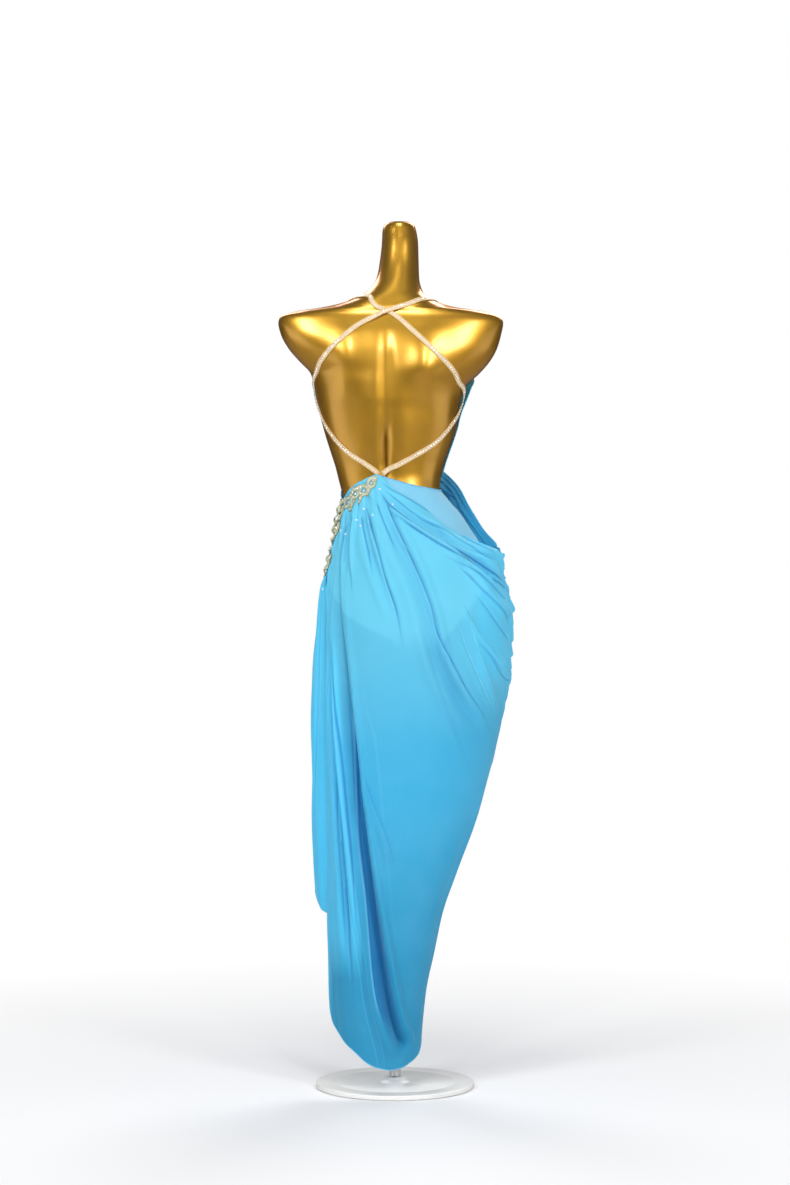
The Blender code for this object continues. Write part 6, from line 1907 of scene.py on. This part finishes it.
def make_applique(cloth):
    trees = [tree_of(panel) for panel in cloth]
    made = []
    for name, curls, leaves in (("applique_hip", HIP_CURLS, HIP_LEAVES),
                                ("applique_side", SIDE_CURLS, SIDE_LEAVES)):
        curls = [c._replace(down=c.down + LACE_DROP, width=c.width * LACE_FULL) for c in curls]
        leaves = [f._replace(down=f.down + LACE_DROP, long=f.long * LACE_LONG, wide=f.wide * LACE_FULL)
                  for f in leaves]
        piece = make_lace(name, curls, leaves, trees)
        made.append((piece, make_lace_stones(name, curls, leaves, trees + [tree_of(piece)])))
    return made, make_loose_stones(trees)


# ---------------------------------------------------------------- studio
VIEW_TALL = 2.2515      # metres of the dress's plane that the picture's height takes in
CAMERA_AWAY = 5.0
CAMERA_HEIGHT = 0.937
SENSOR = 36.0
CHEST = (0.0, 0.0, 1.15)        # where the lamps aim
FLOOR_HALF = 14.0
FLOOR_DROP = 0.0005
FLOOR_FADE = (0.45, 1.7)        # how far from the stand the floor fades to white
WHITE = (1, 1, 1, 1)

# Soft boxes: their turn about the object from behind it, towards its left side, in degrees.
Lamp = namedtuple("Lamp", "name turn away height wide tall power")
STUDIO_LIGHTS = table(Lamp, [
    ("key", 44, 4.0, 2.5, 0.9, 1.7, 60), ("streak_left", 15, 4.2, 2.4, 0.28, 1.1, 30),
    ("streak_right", -15, 4.2, 2.2, 0.34, 1.2, 30), ("fill", -38, 3.9, 2.1, 0.8, 1.8, 54),
    ("low_left", 72, 3.6, 0.6, 2.0, 1.4, 9), ("low_right", -74, 3.6, 0.6, 2.0, 1.4, 7),
    ("top", 0, 1.3, 3.9, 0.9, 0.7, 27),
    ("front_key", 206, 3.9, 4.2, 2.2, 2.0, 104), ("front_fill", 152, 3.9, 3.9, 2.2, 2.0, 76),
])


def area_light(lamp):
    """A soft box that faces the dress."""
    light = bpy.data.lights.new(lamp.name, "AREA")
    light.shape = "RECTANGLE"
    light.size = lamp.wide
    light.size_y = lamp.tall
    light.energy = lamp.power
    turn = math.radians(lamp.turn)
    thing = bpy.data.objects.new(lamp.name, light)
    thing.location = (lamp.away * math.sin(turn), lamp.away * math.cos(turn), lamp.height)
    thing.rotation_euler = (Vector(CHEST) - thing.location).to_track_quat("-Z", "Y").to_euler()
    bpy.context.scene.collection.objects.link(thing)


def pale_floor():
    """Plain near the stand, and glowing white to the camera further off; in reflections it turns brownish,
    which paints darker reflections into the gold.
    """
    made, g, shader = finish_of("pale_floor", Roughness=0.7, Specular_IOR_Level=0.1)
    nodes = made.node_tree.nodes
    path = g.add("ShaderNodeLightPath").outputs
    # Painted reflection: the floor is brownish only to reflected rays, so the gold reflects a darker floor
    # than the camera sees.
    pale = g.mixed(path["Is Glossy Ray"], (0.86, 0.86, 0.87, 1), (0.40, 0.36, 0.30, 1))
    g.link(pale, shader["Base Color"])
    away = g.add("ShaderNodeVectorMath", {0: g.object_place()}, operation="LENGTH").outputs["Value"]
    glow = g.add("ShaderNodeEmission", {"Color": WHITE, "Strength": 1.0}).outputs[0]
    share = g.times(g.span(away, *FLOOR_FADE), path["Is Camera Ray"])
    mixed = g.add("ShaderNodeMixShader", {0: share, 1: nodes["Principled BSDF"].outputs[0], 2: glow})
    g.link(mixed.outputs[0], nodes["Material Output"].inputs[0])
    return made


def make_floor():
    mesh = bpy.data.meshes.new("floor")
    corners = [(x * FLOOR_HALF, y * FLOOR_HALF, 0) for x, y in ((-1, -1), (1, -1), (1, 1), (-1, 1))]
    mesh.from_pydata(corners, [], [(0, 1, 2, 3)])
    mesh.materials.append(pale_floor())
    floor = bpy.data.objects.new("floor", mesh)
    floor.location.z = -FLOOR_DROP
    bpy.context.scene.collection.objects.link(floor)


def make_world():
    """Soft light from all round, brighter from behind the dress, and plain white to the camera."""
    world = bpy.data.worlds.new("studio")
    world.use_nodes = True
    g = Graph(world.node_tree)
    back = world.node_tree.nodes["Background"]
    back.inputs["Color"].default_value = (0.92, 0.93, 0.95, 1)
    way = g.parts(g.add("ShaderNodeTexCoord").outputs["Generated"])[1]
    g.link(g.span(way, -0.2, 0.6, 0.12, 0.24), back.inputs["Strength"])
    white = g.add("ShaderNodeBackground", {"Color": WHITE, "Strength": 1.0}).outputs[0]
    seen = g.add("ShaderNodeLightPath").outputs["Is Camera Ray"]
    mixed = g.add("ShaderNodeMixShader", {0: seen, 1: back.outputs[0], 2: white})
    g.link(mixed.outputs[0], world.node_tree.nodes["World Output"].inputs[0])
    bpy.context.scene.world = world


def make_camera():
    lens = bpy.data.cameras.new("camera")
    lens.sensor_width = SENSOR
    lens.lens = SENSOR * CAMERA_AWAY / VIEW_TALL
    camera = bpy.data.objects.new("camera", lens)
    camera.location = (0.0, CAMERA_AWAY, CAMERA_HEIGHT)
    camera.rotation_euler = (math.radians(90), 0, math.radians(180))
    bpy.context.scene.collection.objects.link(camera)
    bpy.context.scene.camera = camera
    bpy.context.scene.view_settings.view_transform = "Standard"


def make_studio():
    make_floor()
    make_world()
    for lamp in STUDIO_LIGHTS:
        area_light(lamp)
    make_camera()


def main():
    make_studio()
    make_form()
    make_stand()
    briefs = make_briefs()
    gusset = make_gusset()
    bodice = make_bodice()
    skirts = {side: make_skirt(side) for side in SKIRTS}
    straps = make_straps()
    laces, loose = make_applique([skirts["back"][0], skirts["front"][0]])


main()
